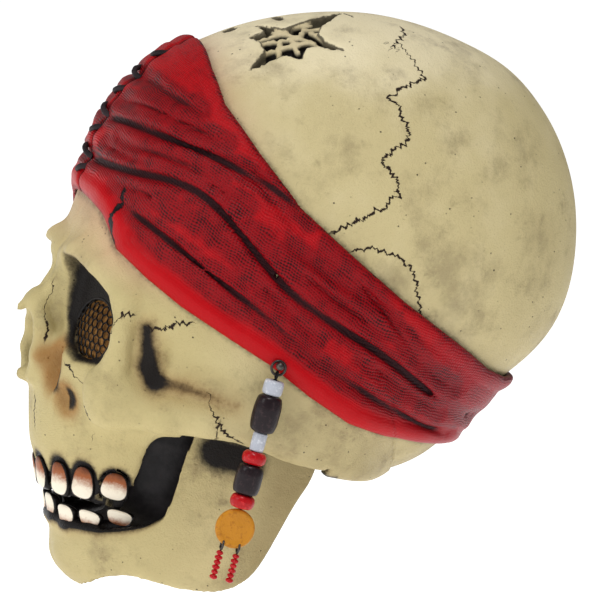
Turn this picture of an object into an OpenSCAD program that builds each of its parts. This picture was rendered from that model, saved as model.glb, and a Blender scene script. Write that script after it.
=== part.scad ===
// Overhead latex mask: a pirate skull with a cast bandana, a hinged jaw and a hanging bead charm.
// Units are mm. The face looks along -Y, the mask's own left side is +X and up is +Z.
// The origin is midway between the wearer's ear canals.

/* [Skin] */
// thickness of the latex skin
skin = 3; // [2:0.5:5]
// how far the bandana stands proud of the bone
bandana_rise = 4.2; // [2:0.2:8]
// half width of the neck opening
neck_half_width = 60; // [50:1:66]
// depth of the eye sockets from the brow
socket_depth = 10; // [6:1:20]

/* [Jaw] */
// wall thickness of the jaw
jaw_wall = 6; // [4:0.5:9]
// radius of the jaw pivot pins
pivot_radius = 2.5; // [1.5:0.1:4]
// gap between a pin and its hole, on the radius
running_gap = 0.05; // [0.01:0.01:0.1]
// height and depth of the jaw pivot
pivot_at = [-5, -5]; // [-20:1:20]

/* [Charm] */
// sideways place of the charm
charm_x = 90.5; // [84:0.5:94]
// fore and aft place of the charm
charm_y = -26; // [-40:1:0]
// height of the charm's hook
charm_z = 31.5; // [20:0.5:40]
// radius of the charm's cord
cord_radius = 0.9; // [0.5:0.1:1.5]

/* [Parts] */
// the sub-part that is drawn

/* [Hidden] */

bone = [0.90, 0.86, 0.70];
ivory = [0.93, 0.90, 0.80];
red = [0.75, 0.08, 0.10];
black = [0.07, 0.07, 0.08];

// the head, level by level: half width, front and back
half_width = [[-16, 70], [-12, 75], [-6, 77], [0, 78.5], [10, 80], [20, 81.5], [30, 83],
  [41, 85], [50, 86.5], [60, 88], [70, 89.5], [84, 90], [98, 89.5], [113, 87.5],
  [128, 84], [137, 81.5], [146, 78], [157, 70], [170, 59], [180, 43], [185, 31], [188, 20]];
front = [[-16, -112], [-6, -115], [10, -115], [20, -115.5], [30, -116], [41, -116.5],
  [50, -116], [60, -115], [70, -113.5], [84, -112], [98, -111.5], [113, -110],
  [128, -104], [137, -98.5], [146, -92.5], [157, -76], [170, -59], [180, -37],
  [185, -20], [188, -6]];
back = [[-16, 46], [-12, 55], [-6, 66], [0, 71], [10, 78], [20, 84], [30, 88], [41, 95],
  [50, 102], [60, 108.5], [70, 113.5], [84, 116.5], [98, 115.5], [113, 113.5],
  [128, 109.5], [137, 105.5], [146, 101], [157, 92.5], [170, 79], [180, 63], [185, 46],
  [188, 32]];
levels = [-16, -9, 0, 10, 20, 30, 41, 52, 64, 76, 88, 100, 113, 125, 137, 147, 157, 166,
  174, 180, 185, 188];
slices = 48;

function power(v, n) = sign(v) * pow(abs(v), 2 / n);
function raised(z, o) = z > 60 ? z + o * (z - 60) / 130 : z;

function ring(z, o) = [for (i = [0 : slices - 1])
  let (a = i * 360 / slices, s = sin(a),
       n = s < 0 ? 2.1 + 0.8 * max(0, min(1, (140 - z) / 80)) : 2.2)
  [(lookup(z, half_width) + o) * power(cos(a), n),
   s < 0 ? -power(s, n) * (lookup(z, front) - o) : (lookup(z, back) + o) * power(s, n),
   raised(z, o)]];

function quads(rows, n) = [for (r = [0 : rows - 2], i = [0 : n - 1], t = [0, 1])
  let (a = r * n + i, b = r * n + (i + 1) % n, c = a + n, d = b + n)
  t == 0 ? [a, c, b] : [b, c, d]];

module head(o = 0, low = -16) {
  zs = [for (z = levels) if (z > low + 1) z];
  rows = concat([low], zs);
  points = concat([for (z = rows) each ring(z, o)],
    [[0, 0, low], [0, 12, 190 + o]]);
  n = slices;
  base = len(rows) * n;
  faces = concat(quads(len(rows), n),
    [for (i = [0 : n - 1]) [base, i, (i + 1) % n]],
    [for (i = [0 : n - 1]) [base + 1, base - n + (i + 1) % n, base - n + i]]);
  polyhedron(points = points, faces = faces, convexity = 4);
}

// the upper jaw below the cheeks: an outline at each level, open at the back
maxilla_levels = [[-58.5, 35.6, -99], [-50, 36.6, -101], [-44, 38.4, -104.3], [-38, 41, -107.6],
  [-30, 43.6, -110], [-20, 47, -112.5], [-10, 51, -114.5], [4, 54, -115]];

// how square the outline is at a height
function blunt(z) = 1.95 + 0.25 * max(0, min(1, (z + 50) / 30));

module maxilla(o = 0, back_edge = -54) {
  count = 25;
  rows = [for (l = maxilla_levels) [l[0] + (o < 0 && l[0] == -58.5 ? -4 : 0), l[1] + o, l[2] - o]];
  points = concat([for (l = rows, i = [0 : count - 1])
    let (a = i * 180 / (count - 1), n = blunt(l[0]))
    [l[1] * power(cos(a), n), back_edge + (l[2] - back_edge) * power(sin(a), n), l[0]]]);
  last = (len(rows) - 1) * count;
  faces = concat(
    [for (r = [0 : len(rows) - 2], i = [0 : count - 2], t = [0, 1])
      let (a = r * count + i, b = a + 1, c = a + count, d = b + count)
      t == 0 ? [a, b, c] : [b, d, c]],
    [for (r = [0 : len(rows) - 2], t = [0, 1])
      let (a = r * count + count - 1, b = r * count, c = a + count, d = b + count)
      t == 0 ? [a, b, c] : [b, d, c]],
    [[for (i = [count - 1 : -1 : 0]) i]],
    [[for (i = [0 : count - 1]) last + i]]);
  polyhedron(points = points, faces = faces, convexity = 4);
}

module oval(a, b) {
  polygon([for (i = [0 : 27]) [a * power(cos(i * 360 / 28), 2.6), b * power(sin(i * 360 / 28), 2.6)]]);
}

module socket(side, grow) {
  translate([side * 38.5, -104, 28]) rotate([0, 0, side * 20]) rotate([90, 0, 0])
    hull() {
      translate([0, 0, 22]) linear_extrude(1) oval(27 + grow, 24 + grow);
      translate([0, 0, -socket_depth - grow]) linear_extrude(1) oval(20 + grow, 17 + grow);
    }
}

module window(side) {
  translate([side * 38.5, -104, 28]) rotate([0, 0, side * 20]) rotate([90, 0, 0])
    translate([0, 0, -socket_depth - 6]) linear_extrude(12) oval(18, 15);
}

module dents(grow = 0) {
  for (side = [-1, 1]) {
    socket(side, grow);
    translate([side * 84, -74, 16]) sphere(r = 16 + grow, $fn = 32);
  }
  hull() {
    translate([0, -104, 10]) rotate([90, 0, 0]) translate([0, 0, -grow])
      cylinder(r = 6 + grow, h = 40, $fn = 24);
    for (side = [-1, 1])
      translate([side * 7, -102, -6]) rotate([90, 0, 0]) translate([0, 0, -grow])
        cylinder(r = 6 + grow, h = 40, $fn = 24);
  }
  translate([27, -41, 199]) sphere(r = 25 + grow, $fn = 40);
}

module nose() {
  hull() {
    for (side = [-1, 1]) {
      translate([side * 3.5, -124.5, 21]) sphere(r = 5, $fn = 20);
      translate([side * 5, -110, 45]) sphere(r = 6, $fn = 20);
      translate([side * 14, -104, 18]) sphere(r = 7, $fn = 20);
    }
  }
}

module pivot_boss(side) {
  translate([side * 67, pivot_at[0], pivot_at[1]]) rotate([0, side * 90, 0])
    cylinder(r = 7, h = 9, $fn = 32);
}

module pivot_shaft(side, extra, from, to) {
  translate([side * from, pivot_at[0], pivot_at[1]]) rotate([0, side * 90, 0])
    cylinder(r = pivot_radius + extra, h = to - from, $fn = 64);
}

module hook_hole() {
  translate([70, charm_y, charm_z]) rotate([0, 90, 0]) cylinder(r = 1.02, h = 30, $fn = 32);
}

// the bandana's outline as seen from the side, as fore-aft and height
wrap_outline = [[-130, 84], [-112, 77], [-104, 61], [-90, 53], [-73, 45], [-50, 37], [-29, 30],
  [-8, 20], [14, 12], [35, 9.5], [53, 9], [74, 8.5], [95, 3], [112, 44], [89, 45], [60, 57],
  [22, 73], [-8, 88], [-34, 102], [-56, 120], [-74, 137], [-79, 157], [-88, 170], [-130, 170]];

module side_prism(outline, from, to) {
  translate([from, 0, 0]) rotate([90, 0, 90]) linear_extrude(to - from) polygon(outline);
}

module skull_skin() {
  color(bone) resize([0, 0, 0]) difference() {
    union() {
      difference() {
        union() {
          head();
          maxilla();
          nose();
        }
        dents();
        difference() {
          union() {
            head(-skin, -16 + skin);
            maxilla(-skin, -48);
            translate([-30, -100, -10]) cube([60, 60, 12]);
          }
          dents(skin);
        }
        // neck opening, with room for the jaw's two arms
        translate([0, 0, -20]) linear_extrude(10) {
          polygon([for (i = [0 : 24]) [neck_half_width * cos(i * 7.5), 42 * sin(i * 7.5)]]);
          polygon([[-71, 20], [-71, -36], [-64, -53], [-44, -53], [-44, -62], [44, -62], [44, -53],
            [64, -53], [71, -36], [71, 20]]);
        }
        translate([-36, -94, -30]) cube([72, 60, 32]);
      }
      for (side = [-1, 1]) pivot_boss(side);
    }
    for (side = [-1, 1]) {
      window(side);
      pivot_shaft(side, 0, 60, 74);
    }
    hook_hole();
  }
}

module bandana_wrap() {
  color(red) resize([0, 0, 0]) difference() {
    intersection() {
      head(bandana_rise);
      side_prism(wrap_outline, -120, 120);
    }
    head();
    hook_hole();
  }
}

module bandana_knot() {
  color(red) resize([0, 0, 0]) difference() {
    union() {
      hull() {
        translate([-48, 70, 28]) sphere(r = 10, $fn = 24);
        translate([-50, 70, 16]) sphere(r = 10, $fn = 24);
      }
      translate([-56, 64, 30]) sphere(r = 9, $fn = 24);
      translate([-58, 62, 18]) sphere(r = 9, $fn = 24);
    }
    head(bandana_rise);
  }
}

module tail(outline, low, high) {
  color(red) resize([0, 0, 0]) difference() {
    intersection() {
      head(high);
      side_prism(outline, -120, -20);
    }
    head(low);
    bandana_knot();
  }
}

module bandana_tail_upper() {
  tail([[59, 28], [48, 31], [30, 28], [6, 20], [2, 6], [14, 2], [38, 12], [52, 19], [59, 21]], 4.2, 7);
}

module bandana_tail_lower() {
  tail([[60, 20], [54, 18], [40, 10], [26, -2], [30, -9], [44, -9], [56, 2], [63, 14]], 7, 9.6);
}

module bandana_stitches() {
  at = [[-98.5, 147, -42], [-105, 137, -30], [-109.5, 127, -22], [-113, 117, -12],
    [-115.2, 107, -6], [-116, 97, -3], [-116.5, 88, 0]];
  color(black) resize([0, 0, 0]) difference() {
    for (p = at) translate([-4, p[0], p[1]]) rotate([0, 90 + 12, 0]) hull() {
      translate([0, 0, -6]) sphere(r = 1.5, $fn = 14);
      translate([0, 0, 6]) sphere(r = 1.5, $fn = 14);
    }
    head(bandana_rise);
  }
}

// each level of the lining: height, half width, front, centre
liner_levels = [[-78, 33, -57, -30.5], [-62, 35, -64, -29.5], [-46, 36.4, -79, -29.5],
  [-32, 39.4, -96, -33], [-21, 42.6, -108, -40]];

module liner_wall() {
  count = 21;
  wall = 1.6;
  loop = 2 * count;
  points = [for (l = liner_levels, i = [0 : loop - 1])
    let (inner = i >= count, k = inner ? loop - 1 - i : i, a = k * 180 / (count - 1), o = inner ? wall : 0)
    [(l[1] - o) * power(cos(a), 2.2), l[3] + (l[2] - l[3] + o) * power(sin(a), 2.2), l[0]]];
  last = (len(liner_levels) - 1) * loop;
  faces = concat(
    [for (r = [0 : len(liner_levels) - 2], i = [0 : loop - 1], t = [0, 1])
      let (a = r * loop + i, b = r * loop + (i + 1) % loop, c = a + loop, d = b + loop)
      t == 0 ? [a, b, c] : [b, d, c]],
    [for (i = [0 : count - 2], t = [0, 1])
      let (a = i, b = i + 1, c = loop - 1 - i, d = loop - 2 - i)
      t == 0 ? [a, c, b] : [b, c, d]],
    [for (i = [0 : count - 2], t = [0, 1])
      let (a = last + i, b = last + i + 1, c = last + loop - 1 - i, d = last + loop - 2 - i)
      t == 0 ? [a, b, c] : [b, d, c]]);
  polyhedron(points = points, faces = faces, convexity = 4);
}

module mouth_liner() {
  color(black) resize([0, 0, 0]) difference() {
    liner_wall();
    difference() {
      maxilla();
      maxilla(-skin, -48);
    }
  }
}

// one tooth: a wide biting edge and a narrower neck
module tooth(x, y, z, wide, high, turn, up) {
  translate([x, y, z]) rotate([0, 0, turn]) scale(1) hull() {
    for (side = [-1, 1]) {
      translate([side * (wide / 2 - 2), 0, -up * (high / 2 - 2)]) sphere(r = 2, $fn = 12);
      translate([side * (wide / 2 - 2.4), 0.5, up * (high / 2 - 2)]) sphere(r = 2, $fn = 12);
    }
    translate([0, -1, 0]) sphere(r = 2.4, $fn = 12);
  }
}

// each tooth: across, fore-aft, height, width, tall, turn
upper_row = [[6, -98.8, -50.6, 10.4, 14.4, 12], [18.7, -92.6, -50, 10.4, 15.2, 35],
  [26.8, -83.6, -48.8, 11, 15, 54], [33, -70.6, -46.4, 12.2, 13.4, 70]];
lower_row = [[5.8, -91, -65, 9.4, 11, 12], [17, -86, -66, 10, 10.4, 33],
  [26.8, -77.6, -64.4, 11, 9, 50], [34.2, -66, -63.4, 12, 8.8, 66]];

module upper_teeth() {
  color(ivory) resize([0, 0, 0]) difference() {
    for (side = [-1, 1], t = upper_row)
      tooth(side * t[0], t[1], t[2], t[3], t[4], side * t[5], 1);
    maxilla();
  }
}

module lower_teeth() {
  color(ivory) resize([0, 0, 0]) difference() {
    for (side = [-1, 1], t = lower_row)
      tooth(side * t[0], t[1], t[2], t[3], t[4], side * t[5], -1);
    jaw_body();
  }
}

module screen(side) {
  color(black) translate([side * 38.5, -104, 28]) rotate([0, 0, side * 20]) rotate([90, 0, 0])
    translate([0, 0, -socket_depth]) linear_extrude(0.8) difference() {
      oval(18.6, 15.6);
      for (i = [-3 : 3], j = [-3 : 3])
        if (abs(i) + abs(j) < 5) translate([i * 4.8, j * 4.2]) rotate(45) square(2.8, center = true);
    }
}

module left_eye_screen() { screen(1); }
module right_eye_screen() { screen(-1); }

module jaw_pivot(side) {
  color(black) union() {
    pivot_shaft(side, 0, 57.4, 74);
    translate([side * 56, pivot_at[0], pivot_at[1]]) rotate([0, side * 90, 0])
      cylinder(r = 5, h = 2.6, $fn = 48);
  }
}

module left_jaw_pivot() { jaw_pivot(1); }
module right_jaw_pivot() { jaw_pivot(-1); }

// the jaw's wall, section by section around the head: under edge and top edge
jaw_low = [[0, -98.5], [15, -96.5], [28, -91], [42, -84.5], [55, -82.5], [66, -80], [76, -77],
  [82, -74], [86, -68], [90, -58], [91.9, -36], [95, -20], [98, -14]];
jaw_high = [[0, -66.5], [20, -66], [38, -64], [48, -61], [54, -55], [58, -42], [62, -26],
  [67, -10], [73, 0], [84, 4], [92, 3], [98, -5]];
jaw_across = [[-99, 60], [-90, 62], [-70, 64.5], [-50, 65.5], [-20, 65.8], [6, 65.8]];
jaw_fore = [[-99, 70], [-96, 75.5], [-92, 79.5], [-86, 84], [-80, 88], [-74, 91.5], [-67, 93.5],
  [-60, 92], [6, 92]];

module jaw_body() {
  stations = [for (i = [-24 : 24]) i * 98 / 24];
  fracs = [0, 0.12, 0.3, 0.55, 0.8, 1];
  nf = len(fracs);
  n = 2 * nf;
  points = [for (q = stations, k = [0 : n - 1])
    let (inner = k >= nf, f = fracs[inner ? n - 1 - k : k], w = abs(q),
         lo = lookup(w, jaw_low), hi = lookup(w, jaw_high), z = lo + (hi - lo) * f,
         o = inner ? jaw_wall : 0)
    [(lookup(z, jaw_across) - o) * power(sin(q), 1.85), -(lookup(z, jaw_fore) - o) * power(cos(q), 1.85), z]];
  m = len(stations);
  faces = concat(
    [for (r = [0 : m - 2], i = [0 : n - 1], t = [0, 1])
      let (a = r * n + i, b = r * n + (i + 1) % n, c = a + n, d = b + n)
      t == 0 ? [a, b, c] : [b, d, c]],
    [for (i = [0 : nf - 2], t = [0, 1])
      let (a = i, b = i + 1, c = n - 1 - i, d = n - 2 - i)
      t == 0 ? [a, c, b] : [b, c, d]],
    [for (i = [0 : nf - 2], t = [0, 1])
      let (s = (m - 1) * n, a = s + i, b = s + i + 1, c = s + n - 1 - i, d = s + n - 2 - i)
      t == 0 ? [a, b, c] : [b, d, c]]);
  polyhedron(points = points, faces = faces, convexity = 6);
}

module jaw_skin() {
  color(bone) difference() {
    jaw_body();
    for (side = [-1, 1]) pivot_shaft(side, running_gap, 50, 75);
  }
}

module torus(major, minor) {
  rotate_extrude($fn = 48) translate([major, 0]) circle(r = minor, $fn = 24);
}

module charm_eyelet() {
  color(black) translate([0, charm_y, charm_z]) union() {
    translate([79, 0, 0]) rotate([0, 90, 0]) cylinder(r = 1, h = charm_x - 76.5, $fn = 32);
    translate([charm_x + 2.5, 0, 0]) sphere(r = 1.9, $fn = 32);
  }
}

coin_z = -44.6;
cord_foot = coin_z + 7.6;
drop_y = 3.8;
drop_z = coin_z - 6.2;
loop_radius = 3.2;
loop_z = charm_z - 1.2;
lift_z = loop_z - loop_radius;

module charm_loop() {
  color(black) translate([charm_x, charm_y, loop_z]) rotate([0, 90, 0]) torus(loop_radius, 0.6);
}

module bead_profile(r, h, waist) {
  rotate_extrude($fn = 48) polygon([[cord_radius, -h / 2], [waist, -h / 2], [(r + waist) / 2, -h * 0.42],
    [r, -h * 0.18], [r, h * 0.18], [(r + waist) / 2, h * 0.42], [waist, h / 2], [cord_radius, h / 2]]);
}

module bead(z, r, h, waist) { translate([charm_x, charm_y, z]) bead_profile(r, h, waist); }

module charm_cord() {
  color(black) union() {
    translate([charm_x, charm_y, lift_z]) rotate([90, 0, 0]) torus(1.7, 0.5);
    translate([charm_x, charm_y, cord_foot])
      cylinder(r = cord_radius, h = lift_z - 2 - cord_foot, $fn = 32);
  }
}

module charm_top_bead() { color(ivory) bead(21.2, 4.6, 7, 2.6); }
module charm_upper_barrel() { color(black) bead(9, 6.3, 17, 3.4); }
module charm_tube_bead() { color(ivory) bead(-4.1, 3.3, 8.6, 2.9); }
module charm_upper_ring() { color(red) bead(-11.6, 5.5, 6, 3.2); }
module charm_lower_barrel() { color(black) bead(-21.7, 6.2, 13.6, 3.4); }
module charm_lower_ring() { color(red) bead(-31.9, 5.6, 6.4, 3.2); }

module charm_coin() {
  color([0.8, 0.5, 0.15]) difference() {
    translate([charm_x, charm_y, coin_z]) rotate([0, 90, 0]) rotate_extrude($fn = 64)
      polygon([[0, -2.2], [4.5, -2], [7, -0.9], [9, -0.5], [9, 0.5], [7, 0.9], [4.5, 2], [0, 2.2]]);
    for (side = [-1, 1]) translate([80, charm_y + side * drop_y, drop_z]) rotate([0, 90, 0])
      cylinder(r = 1.2, h = 16, $fn = 32);
    translate([charm_x, charm_y, cord_foot]) cylinder(r = cord_radius, h = 4, $fn = 32);
  }
}

module drop_ring(side) {
  color(black) translate([charm_x, charm_y + side * drop_y, drop_z - 2.2]) rotate([90, 0, 0])
    torus(2.2, 0.5);
}

// a string of six small beads, drawn as one turned outline
string = concat([[0, 0], [0.7, 0]],
  [for (i = [0 : 5]) each [[0.7, -0.9 - 2.1 * i], [1.6, -1.5 - 2.1 * i], [1.6, -2.2 - 2.1 * i],
    [0.7, -2.8 - 2.1 * i]]], [[0, -13.5]]);

module drop(side) {
  color(red) translate([charm_x, charm_y + side * drop_y, drop_z - 4.9])
    rotate_extrude($fn = 32) polygon(string);
}

module front_drop_ring() { drop_ring(-1); }
module rear_drop_ring() { drop_ring(1); }
module front_drop() { drop(-1); }
module rear_drop() { drop(1); }

skull_skin();
bandana_wrap();
bandana_knot();
bandana_tail_upper();
bandana_tail_lower();
bandana_stitches();
mouth_liner();
upper_teeth();
left_eye_screen();
right_eye_screen();
left_jaw_pivot();
right_jaw_pivot();
jaw_skin();
lower_teeth();
charm_eyelet();
charm_loop();
charm_cord();
charm_top_bead();
charm_upper_barrel();
charm_tube_bead();
charm_upper_ring();
charm_lower_barrel();
charm_lower_ring();
charm_coin();
front_drop_ring();
front_drop();
rear_drop_ring();
rear_drop();
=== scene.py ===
import math
import bpy
import numpy as np
import openvdb
from mathutils import Matrix, Vector


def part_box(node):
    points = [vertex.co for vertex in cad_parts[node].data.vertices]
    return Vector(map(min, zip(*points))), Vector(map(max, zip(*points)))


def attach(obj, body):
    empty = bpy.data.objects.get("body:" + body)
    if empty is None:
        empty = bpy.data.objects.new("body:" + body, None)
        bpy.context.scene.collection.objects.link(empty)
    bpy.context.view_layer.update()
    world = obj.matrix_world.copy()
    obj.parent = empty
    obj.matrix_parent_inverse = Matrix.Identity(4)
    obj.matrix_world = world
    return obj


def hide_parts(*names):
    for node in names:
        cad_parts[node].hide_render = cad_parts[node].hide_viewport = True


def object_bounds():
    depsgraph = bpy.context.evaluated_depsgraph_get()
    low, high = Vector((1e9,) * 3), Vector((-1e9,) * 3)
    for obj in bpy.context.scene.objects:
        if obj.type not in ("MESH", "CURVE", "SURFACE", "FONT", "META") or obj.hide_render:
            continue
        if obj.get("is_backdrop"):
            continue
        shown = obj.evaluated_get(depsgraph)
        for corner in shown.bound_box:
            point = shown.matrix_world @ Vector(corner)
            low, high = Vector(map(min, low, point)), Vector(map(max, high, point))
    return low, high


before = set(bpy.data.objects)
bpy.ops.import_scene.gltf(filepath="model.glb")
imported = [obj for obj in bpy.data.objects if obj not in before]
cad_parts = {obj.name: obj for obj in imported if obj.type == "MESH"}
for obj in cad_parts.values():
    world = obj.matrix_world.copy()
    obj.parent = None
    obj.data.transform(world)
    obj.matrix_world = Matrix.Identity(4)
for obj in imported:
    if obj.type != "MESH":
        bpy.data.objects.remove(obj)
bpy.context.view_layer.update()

# Sizes below are in mm in the row frame: +X the mask's left, -Y out of the face, +Z up.
# Colours are 0 to 255 as a screen shows them.

picture = {
    # how far the camera stands off, and the width that it sees there
    "distance": 3600, "across": 276,
    # the camera's own directions, and its shift along them
    "right": (0.208, 0.9426, 0.2614),
    "up": (-0.153, -0.2327, 0.9607),
    "back": (0.966, -0.2397, 0.0954),
    "aside": 11.96, "above": 51.98,
}

light = {
    "sky": 0.3, "floor": 0.8,
    # where each lamp stands in m, how wide it is and its power
    "key": ((1.1, -0.7, 2.5), 0.9, 33),
    "fill": ((2.2, 1.4, 0.8), 1.2, 2),
    "front": ((0.9, -2.4, 0.9), 1.0, 11),
}

cranium = {
    "centre": 80,
    # direction in the middle plane in degrees from the nape over the crown to the face, and radius there
    "profile": [
        (-60, 107), (-54, 107.5), (-48, 106.5), (-42, 104.5), (-36, 101.5), (-29.6, 100), (-22, 102),
        (-16.4, 106.3), (-10.4, 110.3), (-5, 113.9), (4, 116.8), (17.7, 118.6), (28, 119.9), (41, 120.5),
        (57, 119.3), (71.4, 113.3), (84.3, 110.2), (101.8, 107.3), (113, 106.8), (124, 107.8),
        (134.6, 109.2), (144.5, 112.6), (150, 113.4), (155.2, 114.4), (163.3, 114.8), (170.8, 113.2),
        (178, 112.4),
        (185, 113.6), (192.6, 117.4), (197, 119.5), (203, 122), (210, 126), (216, 130), (222, 134),
        (232, 140), (250, 146), (270, 148), (286, 136), (296, 112), (300, 107),
    ],
    "halfWidth": [(-60, 90), (140, 90), (175, 89), (195, 86), (218, 80.5), (235, 81), (262, 90), (300, 90)],
    "squareness": [(-60, 2.15), (120, 2.15), (175, 2.45), (205, 2.6), (235, 2.5), (262, 2.2), (300, 2.15)],
    "base": [(-120, -25), (-90, -22), (-71, -18), (-57, -15.5), (-38, -12), (-22, -11.5), (-4, -14),
             (10, -15.5), (120, -15.5)],
}

skull = {
    "voxel": 1.75, "skin": 3.0,
    "low": (-97, -137, -66), "high": (97, 124, 197),
    # the upper jaw at each height: half width and front
    "maxilla": [(-62, 35.3, -98), (-50, 36.6, -101), (-44, 38.4, -104.3), (-38, 41, -107.6),
                (-30, 43.6, -110), (-20, 46.5, -112.5), (-8, 51, -115.5), (8, 53, -116)],
    "maxillaBack": -54, "maxillaCut": -63, "maxillaLow": -58.5,
    # half width and length of the opening for the neck
    "neck": (59, 42),
    # ridges of bone as points and their radii
    "brow": ([(7, -114, 49), (24, -114.5, 52), (44, -106.5, 49), (58, -95, 40)], [4.5, 5, 5, 5]),
    "socketSide": ([(58, -95, 40), (60, -93.5, 27), (58.5, -91.5, 13), (51, -93, 0)], [5, 5, 5.5, 6.5]),
    "arch": ([(56, -84, -8), (66, -66, -5.5), (71.5, -46, -2.5), (73, -26, 0), (72, -6, -2)],
             [9, 8.5, 8, 8, 7]),
    "noseBridge": ([(3.5, -110, 47), (3.5, -114.5, 34), (4.5, -121.5, 24)], [5, 4.5, 3.2]),
    "noseCore": ([(0, -106, 34), (0, -111, 20)], [9, 8]),
    "noseTip": ([(0, -122, 27), (0, -129.2, 18.8)], [3.6, 1.4]),
    "noseRim": ([(4, -122.5, 24), (10.5, -118, 14), (11.5, -116.5, 2), (7, -115, -8)], [2.8, 3.6, 4, 4]),
    "noseSpine": ([(0, -110, -8), (0, -119, -9.5)], [5, 3]),
    # the two holes of the nose
    "noseHoles": [([(0, -134, 12), (0, -108, 10)], [4, 3.6]),
                  ([(4.4, -134, 1), (4.2, -108, 1)], [4.4, 4.2])],
    # the hollow behind the socket's rim and along the arch
    "temple": [(68, -83, 31), (68, -77, 14), (70, -73, 8), (74, -60, 9), (77, -36, 7)],
}

sockets = {
    "centre": (36, -104, 27), "turn": 20, "depth": 5.6,
    # the screen: where its middle lies in that plane, its half size, and how far it domes
    "screen": (-2, -6, 16.5, 15), "dome": 2.6,
    # the rim in its own plane, across and up
    "outline": [(-25.5, 9), (-25, 23), (-9, 23.5), (8, 19), (20, 13), (26.5, 2), (25, -10), (15, -21.5),
                (-4, -23.5), (-16, -17), (-24.5, -4)],
    "pitch": 3.9, "strand": 1.0,
}

crownBreak = {
    "centre": (25, -41, 176), "depth": 6,
    # the broken edge, across and toward the back from the centre
    "edge": [(-20, -17), (-5, -7), (-13, 7), (-24, 24), (-10, 16), (-3, 10), (6, 6), (14, 8), (21, 15),
             (16, 4), (15, -2), (23, -6), (18, -12), (22, -30), (12, -20), (3, -20), (-6, -23), (-7, -15)],
    # bridges of bone left over the hole
    "webs": [((-14, 6), (4, -2)), ((4, -2), (16, 6)), ((4, -2), (2, -20)), ((4, -2), (-8, -12)),
             ((-4, 3), (-2, 11)), ((3, -11), (20, -16)), ((9, 2), (10, -12)), ((-9, 6), (-9, -8)),
             ((-4, -6), (-2, -20)), ((4, -6), (16, -6)), ((0, 4), (9, 8)), ((10, -12), (11, -20))],
    # small pits beside it: middle, half width and half height
    "pits": [((-31, -27), 5.5, 3), ((-28, -5), 7, 1.8)],
}

jaw = {
    "voxel": 1.5, "wall": 5.2,
    "low": (-72, -100, -103), "high": (72, 16, 10),
    # degrees round from the chin, and the height of the lower and upper edge there
    "under": [(0, -97.6), (12, -97), (22, -94.5), (33, -88.5), (45, -83.5), (55, -83), (66, -82.5),
              (76, -80), (82, -75.5), (86, -69), (89.5, -59), (91.5, -38), (95, -22), (98, -16)],
    "over": [(0, -68), (20, -68.5), (34, -66), (42, -62.5), (48, -59), (53, -55.5), (56.4, -50.5),
             (57.4, -43), (57.6, -34), (57.4, -22), (58, -10), (62, 0), (74, 2), (84, 3), (92, 2), (98, -5)],
    # half width and reach forward at each height
    "across": [(-99, 58), (-90, 61), (-80, 63.5), (-70, 64), (-50, 64.5), (-20, 65), (6, 65)],
    "fore": [(-99, 68), (-96.5, 74), (-93, 78.2), (-86, 83), (-80, 86), (-74, 88.3), (-67, 91.5), (-60, 92),
             (6, 92)],
}

# across, fore-aft, height, width, tall and turn of each tooth on the left
upperTeeth = {
    "voxel": 0.7, "thick": 5.6,
    "row": [(6, -98.8, -51, 10.4, 14.4, 12), (18.7, -92.9, -50.2, 10.4, 15.6, 35),
            (26.8, -84, -48.6, 11, 15.6, 54), (33.6, -71.2, -46, 12.4, 13.4, 70)],
}
lowerTeeth = {
    "voxel": 0.7, "thick": 5.6,
    "row": [(5.8, -90.4, -64.6, 9.6, 10.8, 12), (17, -85, -66.2, 10.2, 9.8, 33),
            (26.4, -76.4, -64, 11.4, 7.8, 50), (33, -65, -59.6, 12.2, 7.4, 66)],
}

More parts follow.
